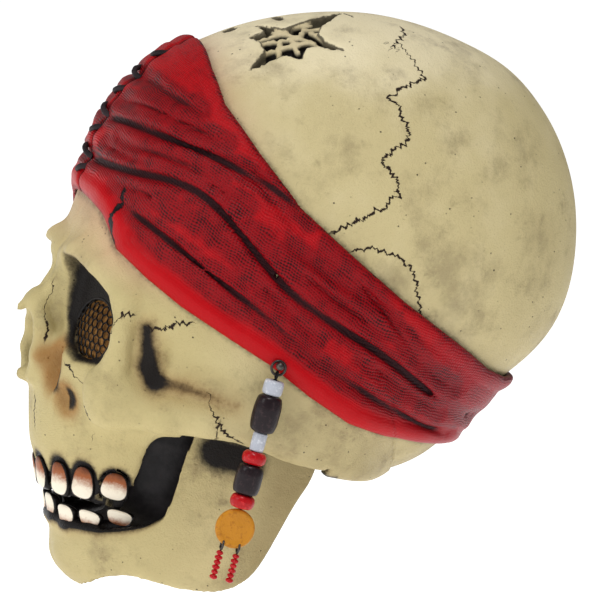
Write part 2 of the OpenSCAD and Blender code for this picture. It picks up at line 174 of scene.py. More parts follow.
bandana = {
    "voxel": 1.25, "thick": 3.6,
    "low": (-99, -126, 0), "high": (99, 112, 168),
    # the lower and the upper hem, as seen from the side: fore-aft and height
    "lowerHem": [(-130, 83), (-116, 79), (-110, 73), (-103.5, 61), (-90, 53), (-73, 45), (-50, 37),
                 (-29, 30), (-8, 20.5), (14, 12.5), (35, 9.5), (53, 8.8), (74, 8.8), (100, 2)],
    "upperHem": [(115, 44), (89, 46), (75, 50), (60, 57), (22, 73), (-8, 88), (-34, 102), (-56, 120),
                 (-74, 137), (-79.5, 150), (-84, 175), (-130, 175)],
    # the tear in the front hem
    "tear": [(47, -107, 88), (49, -107, 81), (46, -108, 73), (50, -106, 63)],
    # folds of the cloth: points, depth and half width
    "folds": [
        ([(4, -104, 136), (22, -101, 136), (39, -97, 134), (58, -84, 131)], 2.6, 2.4),
        ([(2, -114, 114), (28, -109, 116), (50, -100, 116), (77, -69, 113), (88, -43, 106), (91, -29, 99)],
         3, 2.3),
        ([(30, -111, 108), (43, -107, 107), (61, -93, 108), (78, -72, 105)], 1.8, 1.7),
        ([(0, -116, 94), (25, -113, 95), (46, -107, 96), (70, -86, 99), (80, -68, 93), (91, -33, 65),
          (93, -9, 56), (89, 20, 47), (77, 48, 34), (35, 82, 24)], 3, 2.5),
        ([(49, -106, 81), (71, -87, 73), (87, -49, 56), (90, -27, 46), (91, -12, 37), (90, 9, 31),
          (78, 34, 22), (51, 68, 15)], 2.6, 2.2),
        ([(92, -34, 84), (94, -10, 74), (94, 9, 69)], 2.2, 2),
        ([(84, -54, 88), (91, -30, 76), (93, -4, 64), (90, 16, 58)], 1.6, 1.5),
        ([(64, -91, 90), (77, -70, 82), (88, -44, 68)], 1.6, 1.5),
        ([(60, -97, 70), (76, -72, 62), (85, -50, 50)], 1.2, 1.3),
        ([(10, -110, 124), (30, -105, 126), (52, -93, 124), (72, -72, 121)], 1.6, 1.5),
        ([(20, -114, 103), (48, -104, 101), (70, -83, 104), (84, -58, 97)], 1.4, 1.4),
        ([(40, -110, 89), (60, -98, 90), (80, -66, 80), (90, -36, 60), (92, -14, 48)], 1.5, 1.4),
        ([(90, -20, 90), (92, -2, 78), (91, 20, 62), (86, 40, 46), (70, 60, 38)], 1.5, 1.5),
        ([(88, 10, 44), (84, 34, 34), (68, 58, 26)], 1.3, 1.4),
        ([(54, -100, 82), (74, -78, 68), (86, -52, 62)], 1.1, 1.2),
    ],
}


def smoothMin(a, b, k):
    h = np.clip(0.5 + 0.5 * (b - a) / k, 0, 1)
    return b + (a - b) * h - k * h * (1 - h)


def smoothMax(a, b, k):
    return -smoothMin(-a, -b, k)


def rise(low, high, x):
    t = np.clip((x - low) / (high - low), 0, 1)
    return t * t * (3 - 2 * t)


def curve(table, soft=0.0):
    # a smooth function through a short table, as dense samples
    xs, ys = [t[0] for t in table], [t[1] for t in table]
    at = np.linspace(xs[0], xs[-1], 700)
    v = np.interp(at, xs, ys)
    n = int(soft / (xs[-1] - xs[0]) * 700)
    if n:
        kernel = np.hanning(2 * n + 3)[1:-1]
        v = np.convolve(np.pad(v, n, "edge"), kernel / kernel.sum(), "valid")
    return lambda q: np.interp(q, at, v).astype(np.float32)


def rod(p, a, b, ra, rb):
    d = [b[i] - a[i] for i in range(3)]
    t = sum((p[i] - a[i]) * d[i] for i in range(3)) / sum(v * v for v in d)
    t = np.clip(t, 0, 1)
    return np.sqrt(sum((p[i] - a[i] - t * d[i]) ** 2 for i in range(3))) - (ra + (rb - ra) * t)


def rods(p, points, radii, k=3.0):
    out = None
    for i in range(len(points) - 1):
        d = rod(p, points[i], points[i + 1], radii[i], radii[i + 1])
        out = d if out is None else smoothMin(out, d, k)
    return out


def egg(p, centre, radii, turn=0.0, tilt=0.0):
    q = [p[i] - centre[i] for i in range(3)]
    if turn:
        c, s = math.cos(math.radians(turn)), math.sin(math.radians(turn))
        q = [c * q[0] + s * q[1], -s * q[0] + c * q[1], q[2]]
    if tilt:
        c, s = math.cos(math.radians(tilt)), math.sin(math.radians(tilt))
        q = [q[0], c * q[1] + s * q[2], -s * q[1] + c * q[2]]
    a = np.sqrt(sum((q[i] / radii[i]) ** 2 for i in range(3)))
    b = np.sqrt(sum((q[i] / radii[i] ** 2) ** 2 for i in range(3)))
    return a * (a - 1) / np.maximum(b, 1e-6)


def oval(u, v, a, b, wide, high):
    return (np.sqrt(((u - a) / wide) ** 2 + ((v - b) / high) ** 2) - 1) * min(wide, high)


def outlineDistance(u, v, points):
    # signed distance in a plane to a closed outline, negative inside
    best, inside = None, None
    n = len(points)
    for i in range(n):
        a, b = points[i], points[(i + 1) % n]
        ex, ey = b[0] - a[0], b[1] - a[1]
        wx, wy = u - a[0], v - a[1]
        t = np.clip((wx * ex + wy * ey) / (ex * ex + ey * ey), 0, 1)
        d = (wx - ex * t) ** 2 + (wy - ey * t) ** 2
        best = d if best is None else np.minimum(best, d)
        cross = ((a[1] <= v) != (b[1] <= v)) & (u < ex * (v - a[1]) / (ey if ey else 1e-9) + a[0])
        inside = cross if inside is None else inside ^ cross
    return np.where(inside, -1, 1) * np.sqrt(best)


def mirror(p):
    return np.abs(p[0]), p[1], p[2]


profileRadius = curve(cranium["profile"], 9)
profileWidth = curve(cranium["halfWidth"], 20)
profileSquare = curve(cranium["squareness"], 20)
baseHeight = curve(cranium["base"], 12)
maxillaWidth = curve([(m[0], m[1]) for m in skull["maxilla"]], 5)
maxillaFront = curve([(m[0], m[2]) for m in skull["maxilla"]], 5)
jawUnder, jawOver = curve(jaw["under"], 5), curve(jaw["over"], 1.6)
jawAcross, jawFore = curve(jaw["across"], 8), curve(jaw["fore"], 5)


def craniumField(p):
    x, y, z = p
    s = np.abs(x)
    h = z - cranium["centre"]
    angle = np.degrees(np.arctan2(h, y))
    angle = np.where(angle < -60, angle + 360, angle)
    flat = np.sqrt(y * y + h * h)
    radius = profileRadius(angle)
    wide = 90 + (profileWidth(angle) - 90) * np.clip(flat / 90, 0, 1) ** 2
    n = profileSquare(angle)
    r = ((s / wide) ** n + (flat / radius) ** n) ** (1 / n)
    reach = np.sqrt(s * s + flat * flat)
    return (reach - reach / np.maximum(r, 1e-3)) * 0.97


def maxillaField(p, grow=0.0):
    x, y, z = p
    wide, front = maxillaWidth(z) + grow, maxillaFront(z) - grow
    back = skull["maxillaBack"]
    depth = np.maximum(back - y, 0) / (back - front)
    n = 1.95 + 0.25 * np.clip((z + 50) / 30, 0, 1)
    r = ((np.abs(x) / wide) ** n + depth ** n) ** (1 / n)
    return (r - 1) * (wide + (back - front - wide) * depth) * 0.95


def intoSocket(m):
    c, s = math.cos(math.radians(sockets["turn"])), math.sin(math.radians(sockets["turn"]))
    dx, dy = m[0] - sockets["centre"][0], m[1] - sockets["centre"][1]
    return dx * c + dy * s, -dx * s + dy * c, m[2] - sockets["centre"][2]


def socketWall(m):
    across, deep, up = intoSocket(m)
    narrow = 1 + 0.16 * np.clip((deep + 8) / 17, 0, 1.6)
    return outlineDistance(across * narrow, up * narrow, sockets["outline"]), deep


breakNormal = Vector((crownBreak["centre"][0], crownBreak["centre"][1],
                      crownBreak["centre"][2] - cranium["centre"])).normalized()
breakAcross = (Vector((1, 0, 0)) - breakNormal * breakNormal.x).normalized()
breakBack = breakNormal.cross(breakAcross)


def breakPlane(p):
    d = [p[i] - crownBreak["centre"][i] for i in range(3)]
    return sum(d[i] * breakAcross[i] for i in range(3)), sum(d[i] * breakBack[i] for i in range(3))


def breakEdge(p):
    u, v = breakPlane(p)
    far = 20 * (p[2] < 130)
    d = outlineDistance(u, v, crownBreak["edge"])
    for (a, b), wide, high in crownBreak["pits"]:
        d = np.minimum(d, (np.sqrt(((u - a) / wide) ** 2 + ((v - b) / high) ** 2) - 1) * high)
    return d + far


def headField(p, pits=True):
    m = mirror(p)
    _, y, z = m
    d = craniumField(p)
    # brow, cheekbone and arch
    d = smoothMin(d, rods(m, *skull["brow"]), 9)
    d = smoothMin(d, rods(m, *skull["socketSide"]), 6)
    d = smoothMin(d, egg(m, (53, -87, -6), (15, 13, 13.5), 35), 9)
    d = smoothMin(d, rods(m, *skull["arch"]), 6)
    d = smoothMax(d, baseHeight(y) - z, 6)
    upper = smoothMax(maxillaField(p), skull["maxillaLow"] - z, 3)
    upper = smoothMax(upper, y - skull["maxillaCut"], 4)
    upper = smoothMax(upper, z - 12, 8)
    d = smoothMin(d, upper, 9)
    # bony ridges over the tooth roots
    for t in upperTeeth["row"]:
        out = Vector((t[0], t[1] + 54, 0)).normalized()
        a = (t[0] - out.x * 3.2, t[1] - out.y * 3.2, -43)
        b = (t[0] * 1.06 - out.x * 3.4, t[1] * 1.02 - out.y * 3.4, -27)
        d = smoothMin(d, rod(m, a, b, 4.6, 3.2), 5)
    # nose: bridge, tip, rim of the opening and the spine below
    d = smoothMin(d, rods(m, *skull["noseBridge"], 4), 6)
    for part, blend in (("noseCore", 5), ("noseTip", 4), ("noseRim", 5), ("noseSpine", 4)):
        d = smoothMin(d, rods(m, *skull[part]), blend)
    if not pits:
        return d
    socket, deep = socketWall(m)
    d = smoothMax(d, -smoothMax(socket, deep - sockets["depth"], 6), 3)
    # temple hollow with its deepest slit behind the rim of the socket, and a groove along the arch
    d = smoothMax(d, -egg(m, (80, -79.5, 15), (21, 6, 15), -24), 4)
    d = smoothMax(d, -egg(m, (90, -60, 14), (21, 32, 10), 4, -12), 7)
    channel = [(a + 8, b - 2, c) for a, b, c in skull["temple"]]
    d = smoothMax(d, -rods(m, channel, [7, 9.5, 9.5, 8, 4]), 5)
    # hollow of the cheek, and two pits beside the nose
    d = smoothMax(d, -egg(m, (41, -108, -14), (9, 9, 11), 40), 9)
    d = smoothMax(d, -egg(m, (21.8, -112.5, -2), (4.6, 8, 11.5), 20), 4)
    d = smoothMax(d, -egg(m, (29.5, -106, -14.5), (3.4, 6, 5.6), 30), 4)
    # opening of the nose
    for points, radii in skull["noseHoles"]:
        d = smoothMax(d, -rods(m, points, radii), 3)
    # broken crown
    edge = breakEdge(p)
    sunk = np.maximum(edge, -(d + crownBreak["depth"]))
    web = None
    u, v = breakPlane(p)
    for a, b in crownBreak["webs"]:
        ex, ey = b[0] - a[0], b[1] - a[1]
        t = np.clip(((u - a[0]) * ex + (v - a[1]) * ey) / (ex * ex + ey * ey), 0, 1)
        bar = np.sqrt((u - a[0] - ex * t) ** 2 + (v - a[1] - ey * t) ** 2) - 1.25
        web = bar if web is None else np.minimum(web, bar)
    bridges = np.maximum(web, np.abs(d + 3.4) - 2)
    broken = smoothMax(d, -sunk, 1)
    return np.where(edge < 14, smoothMin(broken, np.maximum(bridges, edge - 2), 2), d)


def jawField(p):
    x, y, z = p
    across, fore = jawAcross(z), jawFore(z)
    s = np.abs(x)
    ahead = np.maximum(-y, 0)
    r = ((s / across) ** 1.9 + (ahead / fore) ** 1.9) ** (1 / 1.9)
    scale = across + (fore - across) * np.clip(ahead / fore, 0, 1)
    out = (r - 1) * scale * 0.97
    q = np.degrees(np.arctan2(s / across, np.where(np.abs(y) < 1e-3, 1e-3, -y) / fore))
    low, high = jawUnder(np.clip(q, 0, 98)), jawOver(np.clip(q, 0, 98))
    # the chin stands forward and the angle of the jaw flares
    out = out - 2.6 * np.exp(-((s - 11) / 12) ** 2 - ((z + 89) / 8) ** 2) * np.clip(ahead / 60, 0, 1)
    out = out - 2.2 * np.exp(-((y + 8) / 12) ** 2 - ((z + 72) / 12) ** 2)
    out = out + 1.6 * np.exp(-((y + 30) / 14) ** 2 - ((z + 45) / 22) ** 2)
    wall = np.maximum(out, -(out + jaw["wall"]))
    d = smoothMax(smoothMax(wall, (low - z) * 0.8, 4.5), (z - high) * 0.6, 4)
    d = smoothMax(d, y - 10, 4)
    # gum ridge under the lower teeth
    ridge = [(0, -88.5, -69)] + [(t[0] * 0.95, t[1] + 3, t[2] - 4) for t in lowerTeeth["row"]]
    return smoothMin(d, rods(mirror(p), ridge, [3.6] * len(ridge)), 4)


def hemDistance(y, z):
    points = [(t[0], t[1]) for t in bandana["lowerHem"]] + [(t[0], t[1]) for t in bandana["upperHem"]]
    return outlineDistance(y, z, points)


def lineNear(p, points):
    # distance to a run of points, distance along it, and how far past an end
    best = along = past = None
    run = 0.0
    last = len(points) - 2
    for i in range(last + 1):
        a, b = points[i], points[i + 1]
        d = [b[j] - a[j] for j in range(3)]
        size = math.sqrt(sum(v * v for v in d))
        t = sum((p[j] - a[j]) * d[j] for j in range(3)) / size ** 2
        c = np.clip(t, 0, 1)
        far = np.sqrt(sum((p[j] - a[j] - c * d[j]) ** 2 for j in range(3)))
        over = np.where(((t < 0) & (i == 0)) | ((t > 1) & (i == last)), np.abs(t - c) * size, 0)
        if best is None:
            best, along, past = far, run + c * size, over
        else:
            near = far < best
            best = np.where(near, far, best)
            along = np.where(near, run + c * size, along)
            past = np.where(near, over, past)
        run += size
    return best, along, past


def gridOf(low, high, voxel):
    n = [int(math.ceil((high[i] - low[i]) / voxel)) + 1 for i in range(3)]
    return [np.float32(low[i]) + np.arange(n[i], dtype=np.float32) * np.float32(voxel) for i in range(3)]


def skin(field, low, high, voxel, settle=2):
    # the surface where the field is zero, worked out only near it
    fine = gridOf(low, high, voxel)
    step = 4
    coarse = [a[::step] for a in fine]
    rough = field([coarse[0][:, None, None], coarse[1][None, :, None], coarse[2][None, None, :]])
    rough = np.broadcast_to(rough, tuple(len(a) for a in coarse))
    grow = [slice(0, len(a)) for a in fine]
    spread = rough
    for axis in range(3):
        spread = np.repeat(spread, step, axis)
    spread = spread[tuple(grow)]
    reach = 3.0 * voxel
    near = np.abs(rough) < step * voxel * 1.75 + 2
    wide = near.copy()
    for axis in range(3):
        for way in (-1, 1):
            wide |= np.roll(near, way, axis)
    for axis in range(3):
        wide = np.repeat(wide, step, axis)
    index = np.nonzero(wide[tuple(grow)])
    d = np.ascontiguousarray(np.where(spread > 0, reach, -reach), dtype=np.float32)
    d[index] = np.clip(field([fine[i][index[i]] for i in range(3)]), -reach, reach)
    g = openvdb.FloatGrid(reach)
    g.copyFromArray(d)
    g.transform = openvdb.createLinearTransform(voxelSize=voxel)
    points, quads = g.convertToQuads(isovalue=0.0)
    points = points.astype(np.float32) + np.array(low, np.float32)
    for _ in range(settle):
        points = points - toward(field, points)
    return points, quads


def toward(field, points, e=0.35):
    at = [points[:, i] for i in range(3)]
    d = field(at)
    rises = []
    for i in range(3):
        ahead, behind = list(at), list(at)
        ahead[i] = at[i] + e
        behind[i] = at[i] - e
        rises.append(field(ahead) - field(behind))
    slope = np.stack(rises, 1) / (2 * e)
    move = slope * (d / np.maximum((slope ** 2).sum(1), 0.2))[:, None]
    far = np.linalg.norm(move, axis=1)
    return move * np.minimum(1, 0.8 / np.maximum(far, 1e-6))[:, None]


def makeMesh(name, points, faces, smooth=True):
    mesh = bpy.data.meshes.new(name)
    mesh.vertices.add(len(points))
    mesh.vertices.foreach_set("co", (np.asarray(points, np.float32) / 1000).ravel())
    faces = np.asarray(faces, np.int32)
    k = faces.shape[1]
    mesh.loops.add(faces.size)
    mesh.loops.foreach_set("vertex_index", faces.ravel())
    mesh.polygons.add(len(faces))
    mesh.polygons.foreach_set("loop_start", np.arange(0, faces.size, k, dtype=np.int32))
    mesh.polygons.foreach_set("loop_total", np.full(len(faces), k, np.int32))
    mesh.update(calc_edges=True)
    mesh.validate()
    if smooth:
        mesh.shade_smooth()
    thing = bpy.data.objects.new(name, mesh)
    bpy.context.scene.collection.objects.link(thing)
    return thing


def keep(thing, name, values):
    values = np.asarray(values, np.float32)
    kind = "FLOAT_VECTOR" if values.ndim == 2 else "FLOAT"
    attribute = thing.data.attributes.new(name, kind, "POINT")
    attribute.data.foreach_set("vector" if values.ndim == 2 else "value", values.ravel())


def spots(thing):
    n = len(thing.data.vertices)
    co, no = np.empty(n * 3, np.float32), np.empty(n * 3, np.float32)
    thing.data.vertices.foreach_get("co", co)
    thing.data.vertices.foreach_get("normal", no)
    return [co.reshape(-1, 3)[:, i] * 1000 for i in range(3)], no.reshape(-1, 3)


def place(thing, body, nodes, material):
    thing.data.materials.append(material)
    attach(thing, body)
    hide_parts(*nodes)
    return thing


def screen(r, g, b):
    return tuple(v / 3294.6 if v <= 10 else ((v / 255 + 0.055) / 1.055) ** 2.4 for v in (r, g, b))


class Wire:
    # a shader socket that takes part in sums
    def __init__(self, paint, socket):
        self.paint, self.socket = paint, socket

    def sum(self, kind, *others):
        return self.paint.node("ShaderNodeMath", [self, *others], operation=kind)

    def __add__(self, other):
        return self.sum("ADD", other)

    def __sub__(self, other):
        return self.sum("SUBTRACT", other)

    def __mul__(self, other):
        return self.sum("MULTIPLY", other)

    def __rsub__(self, other):
        return self * -1 + other

    __radd__, __rmul__ = __add__, __mul__

    def size(self):
        return self.sum("ABSOLUTE")

    def least(self, other):
        return self.sum("MINIMUM", other)

    def most(self, other):
        return self.sum("MAXIMUM", other)

    def sine(self):
        return self.sum("SINE")

    def ramp(self, low, high):
        if low > high:
            return 1 - self.ramp(high, low)
        return self.paint.node("ShaderNodeMapRange", {"Value": self, "From Min": low, "From Max": high},
                               interpolation_type="SMOOTHSTEP")


class Paint:
    # one material and its nodes
    def __init__(self, name, **values):
        self.material = bpy.data.materials.new(name)
        self.material.use_nodes = True
        self.tree = self.material.node_tree
        self.shader = self.tree.nodes["Principled BSDF"]
        self.shader.inputs["Specular IOR Level"].default_value = 0.12
        for key, value in values.items():
            self.shader.inputs[key.replace("_", " ")].default_value = value
        self.places = None

    def node(self, kind, inputs=(), output=0, **settings):
        n = self.tree.nodes.new(kind)
        for key, value in settings.items():
            setattr(n, key, value)
        for key, value in (inputs.items() if isinstance(inputs, dict) else enumerate(inputs)):
            if isinstance(value, Wire):
                self.tree.links.new(value.socket, n.inputs[key])
            else:
                n.inputs[key].default_value = value
        return Wire(self, n.outputs[output])

    def set(self, name, value):
        if isinstance(value, Wire):
            self.tree.links.new(value.socket, self.shader.inputs[name])
        else:
            self.shader.inputs[name].default_value = value

    def where(self):
        if not self.places:
            spot = self.node("ShaderNodeTexCoord", output="Object")
            self.places = self.node("ShaderNodeVectorMath", {0: spot, 3: 1000}, operation="SCALE")
        return self.places

    def noise(self, size, detail=3, rough=0.55, at=None, warp=0.0):
        inputs = {"Vector": at or self.where(), "Scale": 1 / size, "Detail": detail, "Roughness": rough,
                  "Distortion": warp}
        return self.node("ShaderNodeTexNoise", inputs)

    def wobble(self, along, size, detail=2, rough=0.6):
        return self.node("ShaderNodeTexNoise", {"W": along, "Scale": 1 / size, "Detail": detail,
                                                "Roughness": rough}, noise_dimensions="1D")

    def cells(self, size, random=1.0, feature="F1", output="Distance"):
        inputs = {"Vector": self.where(), "Scale": 1 / size, "Randomness": random}
        return self.node("ShaderNodeTexVoronoi", inputs, feature=feature, output=output)

    def kept(self, name):
        n = self.tree.nodes.new("ShaderNodeAttribute")
        n.attribute_name = name
        parts = self.node("ShaderNodeSeparateXYZ", [Wire(self, n.outputs["Vector"])])
        return [Wire(self, parts.socket.node.outputs[i]) for i in range(3)]

    def mix(self, factor, a, b):
        a, b = (v if isinstance(v, Wire) else (*screen(*v), 1) for v in (a, b))
        n = self.tree.nodes.new("ShaderNodeMix")
        n.data_type = "RGBA"
        for key, value in ((0, factor), (6, a), (7, b)):
            if isinstance(value, Wire):
                self.tree.links.new(value.socket, n.inputs[key])
            else:
                n.inputs[key].default_value = value
        return Wire(self, n.outputs[2])

    def bump(self, height, mm, strength=1.0):
        self.set("Normal", self.node("ShaderNodeBump", {"Height": height, "Distance": mm / 1000,
                                                        "Strength": strength}))


bone = {
    # crown is lighter and low darker, partly as painted light from above and painted shade below and behind,
    # partly the mask's airbrushed ageing
    "crown": (238, 225, 188), "side": (200, 185, 138), "low": (156, 139, 98), "face": (188, 173, 122),
    # the near-black serves for dark speckles and dark paint, and also for painted shade in hollows, under
    # the arch and along the hem
    "warm": (150, 96, 36), "sootAndShade": (26, 22, 20), "pink": (206, 150, 126), "crack": (40, 27, 20),
    "inside": (196, 180, 138), "smudge": (104, 86, 62),
}


def crackLine(paint, name, swing, fine, width):
    along, aside, strength = paint.kept(name)
    zig = (paint.wobble(along, 5, 1) - 0.5) * swing + (paint.wobble(along + 40, 2, 2, 0.6) - 0.5) * fine
    thick = (paint.wobble(along + 90, 3, 2) - 0.3) * width
    return ((aside + zig).size() - thick.most(0.05)).ramp(0.42, 0.0) * strength


def bonePaint():
    paint = Paint("bone_latex_paint", Specular_IOR_Level=0.16)
    shadeAndAge, shade, warm = paint.kept("airbrushAndShade")
    pink, inside, face = paint.kept("tint")
    gum, broken, deep = paint.kept("edges")
    broad, patch, fine = paint.noise(34, 3), paint.noise(9, 4, 0.6), paint.noise(1.6, 3, 0.6)
    # lighter toward the crown, darker low and at the back: partly painted light and shade, partly airbrushed
    # ageing
    tone = shadeAndAge + (broad - 0.5) * 0.5
    base = paint.mix(tone.ramp(0.05, 0.5), bone["crown"], bone["side"])
    base = paint.mix(tone.ramp(0.45, 1.0), base, bone["low"])
    base = paint.mix(face, base, bone["face"])
    cloud = paint.noise(24, 5, 0.62)
    smudge = (patch + (fine - 0.5) * 0.25).ramp(0.55, 0.75) * (0.16 + shadeAndAge * 0.26)
    base = paint.mix(smudge * cloud.ramp(0.4, 0.6), base, bone["smudge"])
    base = paint.mix((cloud + (fine - 0.5) * 0.12).ramp(0.47, 0.75) * 0.42, base, bone["smudge"])
    streak = paint.noise(3.2, 4, 0.7, warp=1.5).ramp(0.6, 0.72) * paint.noise(22, 2).ramp(0.5, 0.7) * 0.55
    base = paint.mix(streak, base, bone["smudge"])
    base = paint.mix(pink * (0.75 + (patch - 0.5) * 0.8), base, bone["pink"])
    dots = paint.cells(4.2).ramp(0.13, 0.05) * paint.noise(7, 2).ramp(0.5, 0.62) * 0.85
    base = paint.mix(dots, base, bone["sootAndShade"])
    rough = (patch - 0.5) * 0.35 + (fine - 0.5) * 0.25
    base = paint.mix((warm + rough * 0.5).ramp(0.1, 1.0) * 0.85, base, bone["warm"])
    # the mask's own dark airbrush in the sockets, temple and pits, with painted shade under the arch, in the
    # deeper nose hollow and along the bandana's hem
    base = paint.mix((shade + rough).ramp(0.2, 0.85), base, bone["sootAndShade"])
    cracks = crackLine(paint, "crackA", 4.6, 4.2, 1.7).most(crackLine(paint, "crackB", 3.6, 3.4, 1.2))
    base = paint.mix(cracks, base, bone["crack"])
    cavity = broken.ramp(0.6, -0.6)
    inHole = cavity * deep.ramp(1.2, 3.4)
    rim = (broken.size() + (fine - 0.5) * 1.2).ramp(0.9, 0.1)
    base = paint.mix(cavity * (1 - inHole) * 0.5, base, (196, 176, 132))
    base = paint.mix(inHole.most(rim * 0.8), base, bone["sootAndShade"])
    black = (gum + (fine - 0.5) * 0.5).ramp(0.25, -0.25)
    base = paint.mix(black, base, (20, 17, 17))
    base = paint.mix(inside, base, bone["inside"])
    paint.set("Base Color", base)
    paint.set("Roughness", 0.5 + (patch - 0.5) * 0.25 - black * 0.12)
    pores = paint.noise(0.8, 2, 0.6) * 0.35 + fine * 0.5 + patch * 0.8 - cracks * 1.4 - dots * 0.9
    paint.bump(pores - cavity * paint.noise(1.6, 2) * 1.5, 0.55)
    return paint.material


cloth = {
    # bright and rubbed lift the raised cloth between the folds: partly dry-brushed paint, partly painted
    # highlight and sheen
    "bright": (178, 3, 14), "body": (138, 3, 14), "wash": (18, 2, 6), "rubbedAndSheen": (200, 46, 52),
    # back is painted shade, darker and greyer toward the back of the head
    "back": (112, 30, 40), "thread": 1.15,
}


def clothPaint(name="red_latex_paint"):
    paint = Paint(name, Specular_IOR_Level=0.14)
    along, up, hem = paint.kept("weave")
    groove, ridge, back = paint.kept("fold")
    tearAlong, tearAside, tearStrength = paint.kept("crackA")
    patch, fine = paint.noise(8, 4, 0.6), paint.noise(1.2, 2, 0.6)
    sway = (paint.noise(14, 2) - 0.5) * 5
    turn = 2 * math.pi / cloth["thread"]
    weft = ((up + sway) * turn).sine() * 0.5 + 0.5
    warp = ((along + sway * 0.6) * turn * 0.94).sine() * 0.5 + 0.5
    weave = weft * 0.62 + warp * 0.38 + (fine - 0.5) * 0.5
    weave = weave * (1 - hem * 0.8) + hem * 0.6
    base = paint.mix((weave * 0.75 + (patch - 0.5) * 1.3).ramp(-0.15, 0.5), cloth["wash"], cloth["body"])
    base = paint.mix(hem * 0.85, base, cloth["bright"])
    # the raised cloth between the folds is lighter: partly dry-brushed paint, partly painted highlight and
    # sheen
    base = paint.mix((ridge * 0.9 + (patch - 0.5) * 0.9).ramp(0.3, 1.0) * 0.7, base, cloth["bright"])
    base = paint.mix((weave * ridge + (patch - 0.5) * 0.8).ramp(0.75, 1.15) * 0.35, base, cloth["rubbedAndSheen"])
    # painted shade: darker and greyer toward the back of the head
    base = paint.mix(back * 0.55, base, cloth["back"])
    # black wash in the creases and down the seam, with painted shadow along the hem's edge and painted shade
    # where the cloth lies close on the skull
    dark = (groove + (fine - 0.5) * 0.35 + (patch - 0.5) * 0.45).ramp(0.25, 0.8)
    base = paint.mix(dark * 0.93, base, (24, 10, 14))
    zig = (paint.wobble(tearAlong, 4, 2) - 0.5) * 3.5
    tearWidth = paint.wobble(tearAlong + 60, 5, 2) * 2.6
    tear = ((tearAside + zig).size() - tearWidth).ramp(0.5, 0.0) * tearStrength
    base = paint.mix(tear, base, (14, 10, 12))
    paint.set("Base Color", base)
    paint.set("Roughness", 0.42 + (patch - 0.5) * 0.2 + dark * 0.15)
    paint.bump(weave * 0.5 + fine * 0.2 + patch * 0.5 - tear * 1.5, 0.5)
    return paint.material


def toothPaint(upper):
    paint = Paint("upper_tooth_paint" if upper else "lower_tooth_paint", Roughness=0.3, Coat_Weight=0.12)
    rim, root, _ = paint.kept("tooth")
    patch, fine = paint.noise(3, 3, 0.6), paint.noise(0.8, 2, 0.6)
    stain = root + (patch - 0.5) * 0.35 + (fine - 0.5) * 0.15
    base = paint.mix(stain.ramp(0.28, 0.7), (238, 228, 208), (150, 84, 46))
    base = paint.mix(stain.ramp(0.68, 1.0) * 0.8, base, (74, 38, 24))
    base = paint.mix((rim + (fine - 0.5) * 0.2).ramp(0.45, 0.8), base, (18, 15, 15))
    paint.set("Base Color", base)
    paint.bump(patch * 0.6 + fine * 0.2, 0.3)
    return paint.material


def blackPaint(name, colour, rough, coat=0.1):
    paint = Paint(name, Coat_Weight=coat * 0.3, Coat_Roughness=0.25)
    patch = paint.noise(6, 4, 0.6)
    paint.set("Base Color", paint.mix(patch.ramp(0.3, 0.75), colour, tuple(v * 1.7 + 6 for v in colour)))
    paint.set("Roughness", rough + (patch - 0.5) * 0.2)
    paint.bump(patch + paint.noise(0.9, 2) * 0.3, 0.35)
    return paint.material


def beadPaint(name, colour, worn, rough, coat=0.4, metal=0.0):
    paint = Paint(name, Coat_Weight=coat * 0.5, Coat_Roughness=0.12, Metallic=metal)
    patch, fine = paint.noise(2.6, 4, 0.65), paint.noise(0.7, 2)
    wear = (patch + (fine - 0.5) * 0.4).ramp(0.5, 0.72)
    paint.set("Base Color", paint.mix(wear * 0.7, colour, worn))
    paint.set("Roughness", rough + wear * 0.2)
    paint.bump(patch * 0.8 + fine * 0.25, 0.3)
    return paint.material


def shellOf(d, thick):
    # the wall between a surface and the same surface sunk in
    return np.maximum(d, -(d + thick))


def skullShell(p):
    shell = shellOf(headField(p), skull["skin"])
    x, y, z = p
    s = np.abs(x)
    # neck opening with room for the jaw's arms, and the open underside of the upper jaw
    a, b = skull["neck"]
    neck = (np.sqrt((s / a) ** 2 + (np.maximum(y, 0) / b) ** 2) - 1) * a + 1000 * (y < -8)
    arms = np.maximum(s - 70 + 0.35 * np.maximum(-y - 30, 0), np.maximum(y - 14, -53 - y))
    middle = np.maximum(s - 46, np.maximum(y - 9, -56 - y))
    hole = np.maximum(np.minimum(np.minimum(neck, arms), middle), z - (baseHeight(y) + 5.5))
    mouth = np.maximum(maxillaField(p, -3.2), np.minimum(z + 50, np.maximum(z + 8, np.abs(y + 70) - 26)))
    shell = smoothMax(shell, -np.minimum(hole, mouth), 2)
    gum = gumDistance(mirror(p), upperTeeth["row"], 1, -49)
    shell = np.where(z < -30, smoothMax(shell, -np.maximum(gum, -(headField(p) + 1.1)), 0.8), shell)
    across, deep, up = intoSocket(mirror(p))
    a, b, wide, high = sockets["screen"]
    window = (np.sqrt(((across - a) / (wide - 1.6)) ** 2 + ((up - b) / (high - 1.6)) ** 2) - 1) * high
    return smoothMax(shell, -np.maximum(window, np.abs(deep - sockets["depth"] - 3) - 7.5), 1)


def toothShape(p, t, thick):
    c, s = math.cos(math.radians(t[5])), math.sin(math.radians(t[5]))
    dx, dy, dz = p[0] - t[0], p[1] - t[1], p[2] - t[2]
    across = (dx * c + dy * s) / (t[3] / 2)
    deep = (-dx * s + dy * c + 0.42 * dz) / (thick / 2)
    return across, deep, dz / (t[4] / 2)


